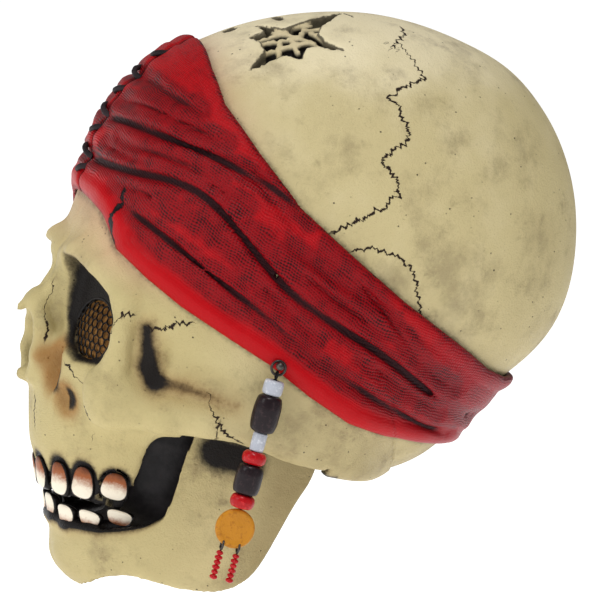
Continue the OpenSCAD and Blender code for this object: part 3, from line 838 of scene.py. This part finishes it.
def teethField(p, row, thick, way):
    m = mirror(p)
    best = None
    for t in row:
        across, deep, up = toothShape(m, t, thick)
        # the neck of the tooth is narrower than its biting edge
        narrow = 1 + 0.2 * np.clip(way * up, -1, 1.2)
        n = ((np.abs(across) * narrow) ** 3 + np.abs(deep) ** 3.4 + np.abs(up) ** 4) ** (1 / 3.2)
        d = (n - 1) * min(t[3], t[4], thick) * 0.5
        best = d if best is None else np.minimum(best, d)
    return best


def gumDistance(m, row, way, level):
    # how far a spot is outside the black surround of the teeth
    best = None
    for t in row:
        across, deep, up = toothShape(m, t, 5.6)
        narrow = 1 + 0.2 * np.clip(way * up, -1, 1.2)
        n = ((np.abs(across) * narrow) ** 2.5 + np.abs(up) ** 2.8) ** (1 / 2.6)
        d = (n - 1) * min(t[3], t[4]) * 0.5 - 1.5 + 40 * (np.abs(deep) > 3)
        best = d if best is None else np.minimum(best, d)
    return np.minimum(best, way * (m[2] - level))


# lines cracked into the bone: points, and whether the right side has the same line
cracks = {
    "crackA": [
        ([(20, 5, 187), (30, 5, 185), (39, -1, 180), (37, 2, 179), (55, 13, 170), (65, -3, 160),
          (73, 7, 148), (76, 8, 143), (81, -3, 132), (84, 5, 125), (85, 8, 119), (87, 2, 111),
          (89, -18, 95)], False),
        ([(61, -101, 25), (65, -99, 29), (65, -96, 35), (64, -91, 35)], True),
        ([(64, -82, 32), (67, -76, 32), (71, -72, 37), (74, -66, 39)], False),
        ([(30, -107, 2), (39, -103, -4), (50, -100, -9), (56, -97, -14), (40, -90, -30)], True),
        ([(72, -50, 10), (79, -46, 2), (80, -43, -2), (80, -41, -4), (78, -36, -6), (75, -29, -8)], True),
        ([(9, -119, 36), (12, -118, 24), (15, -116, 10)], True),
        ([(-62, -20, 150), (-72, -6, 140), (-74, 14, 130), (-84, 20, 112), (-86, 8, 98)], False),
    ],
    "crackB": [
        ([(90, -7, 89), (90, 2, 93), (89, 13, 92), (89, 21, 89), (88, 26, 81), (86, 32, 69)], True),
        ([(79, -43, -2), (77, -43, -7), (75, -41, -12)], False),
        ([(0, -19, 186), (10, -16, 186)], False),
        ([(8, -113, -18), (8, -110, -31)], True),
        ([(-20, 60, 176), (-30, 76, 160), (-22, 92, 142), (-36, 96, 124)], False),
    ],
}


def keepCracks(thing, at, normal, table):
    for name, lines in table.items():
        best = along = strength = None
        side = np.zeros(len(at[0]), np.float32)
        for i, (points, both) in enumerate(lines):
            p = mirror(at) if both else at
            n = [normal[:, 0] * (np.where(at[0] < 0, -1, 1) if both else 1), normal[:, 1], normal[:, 2]]
            far, run, past = lineNear(p, points)
            sign = np.sign(sideOf(p, n, points))
            fade = rise(6.5, 5, far) * rise(2.5, 0, past)
            if best is None:
                best, along, strength, side = far, run, fade, sign
            else:
                near = far < best
                best, along = np.where(near, far, best), np.where(near, run + 70 * i, along)
                strength, side = np.where(near, fade, strength), np.where(near, sign, side)
        keep(thing, name, np.stack([along, side * best, strength], 1))


def sideOf(p, n, points):
    # which side of the nearest stretch a spot lies on
    best, side = None, None
    for a, b in zip(points, points[1:]):
        d = [b[j] - a[j] for j in range(3)]
        w = [p[j] - a[j] for j in range(3)]
        t = np.clip(sum(w[j] * d[j] for j in range(3)) / sum(v * v for v in d), 0, 1)
        far = sum((w[j] - t * d[j]) ** 2 for j in range(3))
        cross = (d[1] * n[2] - d[2] * n[1], d[2] * n[0] - d[0] * n[2], d[0] * n[1] - d[1] * n[0])
        s = sum(w[j] * cross[j] for j in range(3))
        if best is None:
            best, side = far, s
        else:
            near = far < best
            best, side = np.where(near, far, best), np.where(near, s, side)
    return side


def boneMarks(thing, isJaw):
    at, normal = spots(thing)
    m = mirror(at)
    x, y, z = at
    s = np.abs(x)
    zero = np.zeros_like(x)
    if isJaw:
        across, fore = jawAcross(z), jawFore(z)
        ahead = np.maximum(-y, 0)
        out = (((s / across) ** 1.9 + (ahead / fore) ** 1.9) ** (1 / 1.9) - 1) * 60
        inner = rise(-2.6, -3.6, out)
        inside = inner * rise(-74, -82, z)
        q = np.degrees(np.arctan2(s / across, -y / fore))
        over = jawOver(np.clip(q, 0, 98))
        gum = np.minimum(gumDistance(m, lowerTeeth["row"], -1, 40) + 60 * (q > 54),
                         (over - 2.4 - z) + 3 * rise(50, 56, q))
        # painted shadow on the jaw's arm under the cheek's arch, and painted shade along its upper edge at
        # the back where it runs under the skull
        aside = np.clip(q - 66, -9, 0) ** 2 / 30 + np.clip(q - 78, 0, 9) ** 2 / 16
        arch = np.exp(-(((z + 17) / 9) ** 2 + aside))
        shade = rise(6, 0, over - z) * rise(40, 56, q) * 0.8 + 1.15 * arch
        shade = np.maximum(shade, 0.7 * np.exp(-np.maximum(gum, 0) / 2.5) * (q < 60))
        # painted shade: the jaw's inner face is black, save the bare latex band along its bottom edge
        shade = np.maximum(shade, inner)
        warm = 0.5 * np.exp(-np.maximum(gum, 0) / 5)
        # darker toward the bottom and the back: partly painted shade, partly airbrushed ageing
        shadeAndAge = 0.62 + 0.2 * rise(-80, -96, z) + 0.25 * rise(-30, 0, y)
        face = 0.55 * rise(-10, -60, y)
        keep(thing, "edges", np.stack([gum, zero + 40, zero], 1))
        keep(thing, "tint", np.stack([zero, inside, face], 1))
    else:
        whole = headField(at, False)
        outer = headField(at)
        inside = rise(-1.2, -2.0, outer)
        depth = -whole
        gum = gumDistance(m, upperTeeth["row"], 1, -49 + 6 * rise(-66, -58, y))
        gum = np.minimum(gum, egg(m, (50, -58, -44), (9, 10, 14)) - 1) + 80 * (z > -22)
        socket, deep = socketWall(m)
        orbit = rise(3, -2, socket) * (y < -80)
        flat = (0, y, z)
        slit = rods(flat, [(0, b, c) for _, b, c in skull["temple"]], [0, 1.8, 2, 0.4, -2]) + 60 * (s < 50)
        temple = np.exp(-np.maximum(slit, 0) / 3.4) * (0.62 + 0.38 * rise(-64, -72, y))
        pits = rise(1.8, -1.2, oval(s, z, 23.4, -3, 3.2, 8.5))
        pits = np.maximum(pits, rise(1.8, -1.2, oval(s, z, 30.4, -12.5, 2.8, 4.6))) * (y < -92)
        # the nose hollow darkens with its depth: painted shade
        hollow = np.exp(-np.maximum(np.sqrt(x * x * 0.8 + (z - 4) ** 2 * 0.25) - 7, 0) / 3)
        hollow = hollow * (y > -124) * rise(1, 3.5, depth) * (y < -90)
        # painted shade under the arch and behind the upper jaw
        under = rise(-8, -15, z) * rise(-50, -44, y) * rise(72, 60, s + 0.1 * z) * (y < 20)
        shade = np.maximum.reduce([orbit, temple, pits * 0.95, hollow, under])
        shade = np.maximum(shade, 0.75 * np.exp(-np.maximum(gum, 0) / 2.2))
        hem = hemDistance(y, z)
        # painted shadow along the bandana's hem
        shade = np.maximum(shade, np.exp(-np.abs(hem) / 2.6) * 0.55)
        halo = np.exp(-np.maximum(socket, 0) / 4) * (y < -80) * (deep < 12) * 0.6
        warm = np.maximum.reduce([
            0.8 * np.exp(-np.maximum(oval(s, z, 20.5, 0, 4.6, 11), 0) / 3) * (y < -92),
            0.72 * np.exp(-np.maximum(oval(s, z, 29, -13.5, 4.4, 6.5), 0) / 3) * (y < -88),
            0.66 * np.exp(-np.maximum(slit, 0) / 7),
            0.5 * halo, 0.4 * np.exp(-np.maximum(gum, 0) / 5),
        ])
        # lighter toward the crown, darker low and at the back: partly painted light and shade, partly
        # airbrushed ageing
        shadeAndAge = 0.08 + 0.38 * rise(190, 146, z - 0.25 * y)
        shadeAndAge = shadeAndAge + 0.3 * rise(60, -10, z) * rise(-60, 10, y) + 0.22 * rise(40, 100, y) * rise(150, 0, z)
        face = rise(72, 40, z) * rise(-30, -70, y) * 0.8
        pink = np.exp(-np.maximum(hem, 0) / 9) * rise(-40, -90, y) * rise(40, 60, z) * 0.7
        keep(thing, "edges", np.stack([gum, breakEdge(at), np.maximum(depth, 0)], 1))
        keep(thing, "tint", np.stack([pink, inside, face], 1))
    keep(thing, "airbrushAndShade", np.stack([shadeAndAge, shade, warm], 1))
    keepCracks(thing, at, normal, cracks)


def rounded(points):
    # cut the corners of a run of points twice
    for _ in range(2):
        cut = [points[0]]
        for a, b in zip(points, points[1:]):
            cut += [tuple(a[i] + (b[i] - a[i]) * t for i in range(3)) for t in (0.25, 0.75)]
        points = cut + [points[-1]]
    return points


def foldReach(p):
    m = mirror(p)
    groove, near = 0, None
    for points, depth, wide in smoothFolds:
        far, along, _ = lineNear(m, points)
        length = sum(math.dist(a, b) for a, b in zip(points, points[1:]))
        taper = rise(0, 14, along) * 0.6 + 0.4
        taper = taper * (rise(length, length - 16, along) * 0.7 + 0.3)
        groove = np.maximum(groove, depth * taper * np.exp(-(far / (wide * 0.78)) ** 2))
        near = far if near is None else np.minimum(near, far)
    return groove, near


smoothFolds = [(rounded(points), depth, wide) for points, depth, wide in bandana["folds"]]


def bandanaField(p):
    x, y, z = p
    under = headField(p, False)
    edge = hemDistance(y, z)
    groove, near = foldReach(p)
    puff = 1.5 * (1 - np.exp(-(near / 7) ** 2)) * rise(2, -9, edge)
    seam = 2.2 * np.exp(-(x / 2.2) ** 2) * (y < -60)
    hem = 0.7 * np.exp(-((edge + 3.6) / 2.4) ** 2) - 0.7 * np.exp(-((edge + 8.5) / 1.7) ** 2)
    ripple = 0.35 * np.sin(0.42 * (z + 0.35 * y) + 0.05 * np.abs(x)) * rise(-4, -12, edge)
    top = np.maximum(bandana["thick"] + puff - groove - seam + hem + ripple, 1.3)
    d = np.maximum(under - top, -(under - 0.1))
    return smoothMax(d, edge, 2)


def clothMarks(thing):
    at, normal = spots(thing)
    x, y, z = at
    edge = hemDistance(y, z)
    groove, near = foldReach(at)
    # painted shade toward the back of the head
    tint = rise(20, 80, y)
    along = np.arctan2(np.abs(x), -y) * 90
    lower = lowerHemHeight(y)
    up = (z - lower) * 0.86
    hem = rise(-11, -7.5, edge) * rise(20, 5, z - lower)
    # painted shadow along the hem's edge
    rim = np.exp(-np.abs(edge) / 0.8) * 0.5
    seam = np.exp(-(x / 2.4) ** 2) * (y < -60)
    dark = np.maximum.reduce([np.clip((groove - 0.35) / 1.9, 0, 1), rim, seam])
    # painted shade where the cloth lies close on the skull
    under = headField(at, False)
    dark = np.maximum(dark, rise(1.2, 0.3, under))
    # raised cloth between the folds, lightened as dry-brushed paint and painted highlight
    ridge = rise(2.5, 8, near) * rise(0, -3, edge)
    keep(thing, "weave", np.stack([along, up, hem], 1))
    keep(thing, "fold", np.stack([dark, ridge, tint], 1))
    keepCracks(thing, at, normal, {"crackA": [(bandana["tear"], False)]})


lowerHemHeight = curve(bandana["lowerHem"], 14)


knot = {
    "voxel": 1.1, "low": (-76, 40, -2), "high": (-28, 96, 46),
    # each lobe's two ends and their radii
    "lobes": [([(-44, 75, 31), (-60, 63, 13)], (9, 8)), ([(-43, 76, 14), (-62, 60, 31)], (8, 7.5))],
}

# outline from the side, distance off the skull and half the thickness
tails = {
    "upper": ([(60, 28), (48, 31), (30, 28), (6, 20), (2, 6), (14, 2), (38, 12), (52, 19), (60, 21)],
              5.6, 1.2),
    "lower": ([(61, 20), (54, 18), (40, 10), (26, -2), (30, -9), (44, -9), (56, 2), (63, 14)], 8.4, 1.1),
}


def knotField(p):
    x, y, z = p
    d = None
    for i, (points, radii) in enumerate(knot["lobes"]):
        lobe = rods(p, points, radii)
        a, b = points
        way = [b[j] - a[j] for j in range(3)]
        size = math.sqrt(sum(v * v for v in way))
        aside = (x - a[0]) * way[2] / size - (z - a[2]) * way[0] / size
        lobe = lobe + 0.55 * np.cos(aside * 1.35 + i)
        d = lobe if d is None else smoothMin(d, lobe, 1.6)
    band = egg(p, (-54, 70, 22), (6.5, 7, 12), 35)
    d = smoothMin(d, band + 0.4 * np.cos(y * 1.6), 1.2)
    return smoothMax(d, -(headField(p, False) - 3.0), 1.5)


def tailField(p, outline, middle, half):
    x, y, z = p
    under = headField(p, False)
    wave = 0.8 * np.sin(np.arctan2(z - 22, y - 66) * 26) * rise(2, 14, np.hypot(y - 62, z - 22))
    d = np.abs(under - middle - wave) - half
    edge = outlineDistance(y, z, outline) - 0.6
    return smoothMax(np.maximum(d, x + 20), edge, 1.2)


def tube(name, path, radius, sides=10, closed=False):
    path = [Vector(v) for v in path]
    n = len(path)
    points, faces = [], []
    for i, v in enumerate(path):
        ahead = path[(i + 1) % n] if closed else path[min(i + 1, n - 1)]
        behind = path[i - 1] if closed else path[max(i - 1, 0)]
        way = (ahead - behind).normalized()
        a = way.orthogonal().normalized() if i == 0 else (a - way * a.dot(way)).normalized()
        b = way.cross(a)
        r = radius(i / (n - 1)) if callable(radius) else radius
        for k in range(sides):
            t = 2 * math.pi * k / sides
            points.append(v + (a * math.cos(t) + b * math.sin(t)) * r)
    for i in range(n if closed else n - 1):
        for k in range(sides):
            j = (i + 1) % n
            after = (k + 1) % sides
            faces.append((i * sides + k, i * sides + after, j * sides + after, j * sides + k))
    return makeMesh(name, points, faces)


def lathe(name, centre, profile, axis="Z", sides=40):
    points, faces = [], []
    for r, h in profile:
        for k in range(sides):
            t = 2 * math.pi * k / sides
            v = (r * math.cos(t), r * math.sin(t), h)
            v = v if axis == "Z" else (v[2], v[0], v[1])
            points.append([v[j] + centre[j] for j in range(3)])
    for i in range(len(profile) - 1):
        for k in range(sides):
            a, b = i * sides + k, i * sides + (k + 1) % sides
            faces.append((a, b, b + sides, a + sides))
    return makeMesh(name, points, faces)


def at(node):
    low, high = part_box(node)
    return [(low[i] + high[i]) * 500 for i in range(3)], [(high[i] - low[i]) * 1000 for i in range(3)]


print("skull")
bonePainted = bonePaint()
points, quads = skin(skullShell, skull["low"], skull["high"], skull["voxel"])
skullSkin = makeMesh("skull_skin_cast", points, quads)
boneMarks(skullSkin, False)
place(skullSkin, "mask", ["skull_skin"], bonePainted)
print("  faces", len(quads))

print("jaw")
points, quads = skin(jawField, jaw["low"], jaw["high"], jaw["voxel"])
jawSkin = makeMesh("jaw_skin_cast", points, quads)
boneMarks(jawSkin, True)
place(jawSkin, "jaw", ["jaw_skin"], bonePainted)
print("  faces", len(quads))

print("bandana")
clothPainted = clothPaint()
points, quads = skin(bandanaField, bandana["low"], bandana["high"], bandana["voxel"])
wrap = makeMesh("bandana_cast", points, quads)
clothMarks(wrap)
place(wrap, "mask", ["bandana_wrap"], clothPainted)
print("  faces", len(quads))

points, quads = skin(knotField, knot["low"], knot["high"], knot["voxel"])
thing = makeMesh("bandana_knot_cast", points, quads)
clothMarks(thing)
place(thing, "mask", ["bandana_knot"], clothPainted)
for key, (outline, middle, half) in tails.items():
    points, quads = skin(lambda p: tailField(p, outline, middle, half), (-96, -2, -14), (-16, 70, 36), 1.1)
    thing = makeMesh(f"bandana_tail_{key}_cast", points, quads)
    clothMarks(thing)
    place(thing, "mask", [f"bandana_tail_{key}"], clothPainted)

print("teeth")
for key, table, way, body in (("upper", upperTeeth, 1, "mask"), ("lower", lowerTeeth, -1, "jaw")):
    row = table["row"]
    low = (-44, -108, min(t[2] - t[4] / 2 for t in row) - 2)
    high = (44, -60, max(t[2] + t[4] / 2 for t in row) + 2)
    points, quads = skin(lambda p: teethField(p, row, table["thick"], way), low, high, table["voxel"])
    thing = makeMesh(f"{key}_teeth_cast", points, quads)
    spot, normal = spots(thing)
    m = mirror(spot)
    best = rim = root = None
    for t in row:
        across, deep, up = toothShape(m, t, table["thick"])
        narrow = 1 + 0.2 * np.clip(way * up, -1, 1.2)
        n = ((np.abs(across) * narrow) ** 2.5 + np.abs(up) ** 2.5) ** (1 / 2.5)
        far = across ** 2 + deep ** 2 + up ** 2
        near = np.zeros_like(far, bool) if best is None else far < best
        if best is None:
            best, rim, root = far, np.where(deep > 0.35, 1, rise(0.8, 1.02, n)), way * up * 0.5 + 0.5
        else:
            best = np.where(near, far, best)
            rim = np.where(near, np.where(deep > 0.35, 1, rise(0.8, 1.02, n)), rim)
            root = np.where(near, way * up * 0.5 + 0.5, root)
    keep(thing, "tooth", np.stack([rim, root if way > 0 else root * 0.72, root * 0], 1))
    place(thing, body, [f"{key}_teeth"], toothPaint(way > 0))

print("lining")
lining = {
    "voxel": 1.0, "wall": 2.2, "low": (-52, -112, -80), "high": (52, -14, -5),
    # at each height: half width, front and the back edge
    "levels": [(-80, 31, -54.5, -30.5), (-62, 33.4, -62, -29.5), (-46, 36.4, -79, -27),
               (-32, 39.4, -96, -23), (-21, 42.6, -108, -20), (-8, 42.6, -108, -20)],
}
liningWidth, liningFront, liningBack = (
    curve([(level[0], level[i]) for level in lining["levels"]], 2) for i in (1, 2, 3))


def liningField(p):
    x, y, z = p
    wide, front, centre = liningWidth(z), liningFront(z), liningBack(z)
    depth = np.maximum(centre - y, 0) / (centre - front)
    r = ((np.abs(x) / wide) ** 2.2 + depth ** 2.2) ** (1 / 2.2)
    d = (r - 1) * (wide + (centre - front - wide) * np.clip(depth, 0, 1)) * 0.95
    d = shellOf(d, lining["wall"])
    return smoothMax(np.maximum(d, y - centre), np.maximum(-78 - z, z + 10), 1)


points, quads = skin(liningField, lining["low"], lining["high"], lining["voxel"], 1)
liner = makeMesh("mouth_liner_cast", points, quads)
liningPaint = blackPaint("black_lining_paint", (20, 18, 19), 0.42, 0.25)
place(liner, "mask", ["mouth_liner"], liningPaint)

print("eyes")
meshPaint = blackPaint("black_mesh_paint", (16, 14, 14), 0.35, 0.3)
# a bronze sheet behind each net: painted light, its colour stands in for the lit inside of the mask seen
# through the cells
litInsideSheet = Paint("lit_inside_sheet_paint", Roughness=0.55)
grain = litInsideSheet.noise(2.5, 3)
litInsideSheet.set("Base Color", litInsideSheet.mix(grain.ramp(0.3, 0.8), (104, 68, 30), (186, 134, 70)))
for side, label in ((1, "left"), (-1, "right")):
    c, s = math.cos(math.radians(sockets["turn"])), math.sin(math.radians(sockets["turn"]))
    middle, half = sockets["screen"][:2], sockets["screen"][2:]

    def dish(u, v, back=0.0):
        domed = sockets["dome"] * (1 - (u / half[0]) ** 2 - (v / half[1]) ** 2)
        deep = sockets["depth"] + 0.8 - domed + back
        u, v = u + middle[0], v + middle[1]
        x = sockets["centre"][0] + u * c - deep * s
        return (side * x, sockets["centre"][1] + u * s + deep * c, sockets["centre"][2] + v)

    # a honeycomb net: each cell is a ring of six strands
    pitch = sockets["pitch"]
    corners, cells = {}, []
    for i in range(-12, 13):
        for j in range(-12, 13):
            u0, v0 = (i + 0.5 * (j % 2)) * pitch, j * pitch * 0.866
            if (u0 / (half[0] - 1.6)) ** 2 + (v0 / (half[1] - 1.6)) ** 2 > 1:
                continue
            ring = []
            for k in range(6):
                t = math.radians(60 * k + 30)
                u, v = u0 + pitch * 0.577 * math.cos(t), v0 + pitch * 0.577 * math.sin(t)
                key = (round(u, 2), round(v, 2))
                ring.append(corners.setdefault(key, len(corners)))
            cells.append(ring if side > 0 else ring[::-1])
    net = makeMesh(f"{label}_eye_net", [dish(*k) for k in corners], cells, False)
    wires = net.modifiers.new("wires", "WIREFRAME")
    wires.thickness = sockets["strand"] / 1000
    wires.use_boundary = True
    wires.use_even_offset = False
    rimPath = [dish(half[0] * 0.97 * math.cos(t), half[1] * 0.97 * math.sin(t))
               for t in np.linspace(0, 2 * math.pi, 60, endpoint=False)]
    place(net, "mask", [f"{label}_eye_screen"], meshPaint)
    rimmed = tube(f"{label}_eye_rim", rimPath, 0.9, 8, True)
    place(rimmed, "mask", [f"{label}_eye_screen"], meshPaint)
    # the sheet whose colour stands in for the lit inside of the mask
    rings = [[dish(half[0] * 0.97 * q * math.cos(t), half[1] * 0.97 * q * math.sin(t), 1.0)
              for t in np.linspace(0, 2 * math.pi, 40, endpoint=False)] for q in (0.05, 0.3, 0.6, 0.85, 1)]
    faces = [(i * 40 + k, i * 40 + (k + 1) % 40, (i + 1) * 40 + (k + 1) % 40, (i + 1) * 40 + k)
             for i in range(4) for k in range(40)]
    backing = makeMesh(f"{label}_eye_gauze", [v for ring in rings for v in ring], faces)
    place(backing, "mask", [f"{label}_eye_screen"], litInsideSheet.material)

print("stitches")
threadPaint = blackPaint("dark_thread_paint", (26, 20, 22), 0.6, 0.05)
# fore-aft and height of each stitch
stitchPlaces = [(-98.5, 147), (-105, 137), (-109.5, 127), (-113, 117), (-115.2, 107), (-116, 97),
                (-116.5, 88)]
for i, (y, z) in enumerate(stitchPlaces):
    lean = 2.2 * (-1) ** i
    path = []
    for t in np.linspace(-1, 1, 9):
        v = np.array([-3 + 7 * t, y, z + lean * t], np.float32)
        for _ in range(4):
            d = headField([v[k:k + 1] for k in range(3)], False)
            v[1] -= float(4.2 + 1.2 * (1 - t * t) - 2 * t ** 4 - d[0])
        path.append(v)
    thing = tube(f"stitch_{i + 1}", path, 1.35, 8)
    place(thing, "mask", ["bandana_stitches"], threadPaint)

print("charm")
whiteBead = beadPaint("white_bead_paint", (176, 180, 190), (226, 228, 232), 0.28)
darkBead = beadPaint("dark_bead_paint", (28, 18, 22), (62, 46, 48), 0.34, 0.4)
redBead = beadPaint("red_bead_paint", (170, 8, 18), (212, 48, 50), 0.3, 0.5)
ochreBead = beadPaint("ochre_bead_paint", (192, 128, 34), (160, 98, 30), 0.42, 0.2)
metalPaint = beadPaint("dark_metal_paint", (70, 66, 64), (110, 104, 98), 0.35, 0.0, 0.9)
cordPaint = blackPaint("black_nylon_paint", (18, 17, 18), 0.65, 0.0)


def beadShape(node, power, waist):
    centre, size = at(node)
    r, h = size[0] / 2, size[2] / 2
    rows = []
    for t in np.linspace(-1, 1, 25):
        bulge = (1 - abs(t) ** power) ** (1 / power)
        rows.append((waist * r + (1 - waist) * r * bulge, h * t))
    hole = 0.95  # radius
    rows = [(hole, -h * 0.96)] + rows + [(hole, h * 0.96), (hole, -h * 0.96)]
    return lathe(f"{node}_turned", centre, rows)


# how square each bead's side is, how wide its ends are, and its finish
beads = {
    "charm_top_bead": (3.2, 0.62, "white_bead", whiteBead),
    "charm_upper_barrel": (2.6, 0.62, "dark_bead", darkBead),
    "charm_tube_bead": (5, 0.82, "white_bead", whiteBead),
    "charm_upper_ring": (2.2, 0.55, "red_bead", redBead),
    "charm_lower_barrel": (2.8, 0.66, "dark_bead", darkBead),
    "charm_lower_ring": (2.2, 0.55, "red_bead", redBead),
}
for node, (power, waist, slot, paint) in beads.items():
    place(beadShape(node, power, waist), "charm", [node], paint)

centre, size = at("charm_coin")
r = size[2] / 2
rows = [(0.01, -1.5), (3, -1.7), (6.4, -1.25), (7.2, -1.5), (8.3, -1.45), (r, -0.8), (r, 0.8), (8.3, 1.45),
        (7.2, 1.5), (6.4, 1.25), (3, 1.7), (0.01, 1.5)]
place(lathe("charm_coin_cast", centre, rows, "X", 56), "charm", ["charm_coin"], ochreBead)

for label in ("front", "rear"):
    centre, size = at(f"{label}_drop")
    rows = [(0.01, size[2] / 2)]
    count = 6
    for i in range(count):
        for t in np.linspace(-0.96, 0.96, 7):
            r = (1.35 + 0.25 * (i % 2)) * math.sqrt(1 - t * t) + 0.25
            rows.append((r, size[2] / 2 - size[2] / count * (i + 0.5 + t / 2)))
    rows.append((0.01, -size[2] / 2))
    drop = lathe(f"{label}_drop_strung", centre, rows, sides=20)
    place(drop, f"drop_{label}", [f"{label}_drop"], redBead)

plainLooks = {
    "charm_eyelet": metalPaint, "charm_loop": metalPaint, "front_drop_ring": metalPaint,
    "rear_drop_ring": metalPaint, "charm_cord": cordPaint, "left_jaw_pivot": metalPaint,
    "right_jaw_pivot": metalPaint,
}
for node, paint in plainLooks.items():
    thing = bpy.data.objects[node]
    thing.data.materials.clear()
    thing.data.materials.append(paint)
    thing.data.shade_smooth()

print("camera and light")
camera = bpy.data.objects.new("camera", bpy.data.cameras.new("camera"))
bpy.context.scene.collection.objects.link(camera)
bpy.context.scene.camera = camera
right, up, back = (Vector(picture[k]).normalized() for k in ("right", "up", "back"))
turn = Matrix((right, up, back)).transposed().to_4x4()
stand = back * picture["distance"] + right * picture["aside"] + up * picture["above"]
camera.matrix_world = Matrix.Translation(stand / 1000) @ turn
camera.data.sensor_width = 36
camera.data.lens = 36 * picture["distance"] / picture["across"]
camera.data.clip_start, camera.data.clip_end = 0.1, 30
bpy.context.scene.view_settings.view_transform = "Standard"

floorLevel, floorReach = -140, 9000
floorTurns = ((-1, -1), (1, -1), (1, 1), (-1, 1))
floorCorners = [(floorReach * a, floorReach * b, floorLevel) for a, b in floorTurns]
floor = makeMesh("floor", floorCorners, [(0, 1, 2, 3)], False)
floorPaint = Paint("floor_paint", Roughness=0.9)
floorPaint.set("Base Color", (0.92, 0.92, 0.92, 1))
floorPaint.set("Emission Color", (1, 1, 1, 1))
floorPaint.set("Emission Strength", light["floor"])
floor.data.materials.append(floorPaint.material)
floor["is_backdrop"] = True

world = bpy.data.worlds.new("sky")
bpy.context.scene.world = world
world.use_nodes = True
skyNodes, skyLinks = world.node_tree.nodes, world.node_tree.links
lit = skyNodes["Background"]
seen = skyNodes.new("ShaderNodeBackground")  # the plain backdrop that the camera sees
path = skyNodes.new("ShaderNodeLightPath")
either = skyNodes.new("ShaderNodeMixShader")
lit.inputs["Color"].default_value = seen.inputs["Color"].default_value = (1, 1, 1, 1)
lit.inputs["Strength"].default_value = light["sky"]
skyLinks.new(path.outputs["Is Camera Ray"], either.inputs[0])
skyLinks.new(lit.outputs[0], either.inputs[1])
skyLinks.new(seen.outputs[0], either.inputs[2])
skyLinks.new(either.outputs[0], skyNodes["World Output"].inputs["Surface"])


def lamp(name, spot, size, power):
    data = bpy.data.lights.new(name, "AREA")
    data.size, data.energy = size, power
    thing = bpy.data.objects.new(name, data)
    bpy.context.scene.collection.objects.link(thing)
    thing.location = Vector(spot)
    thing.rotation_mode = "QUATERNION"
    thing.rotation_quaternion = (Vector((0, 0, 0.05)) - Vector(spot)).to_track_quat("-Z", "Y")


for name in ("key", "fill", "front"):
    lamp(name, *light[name])

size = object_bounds()
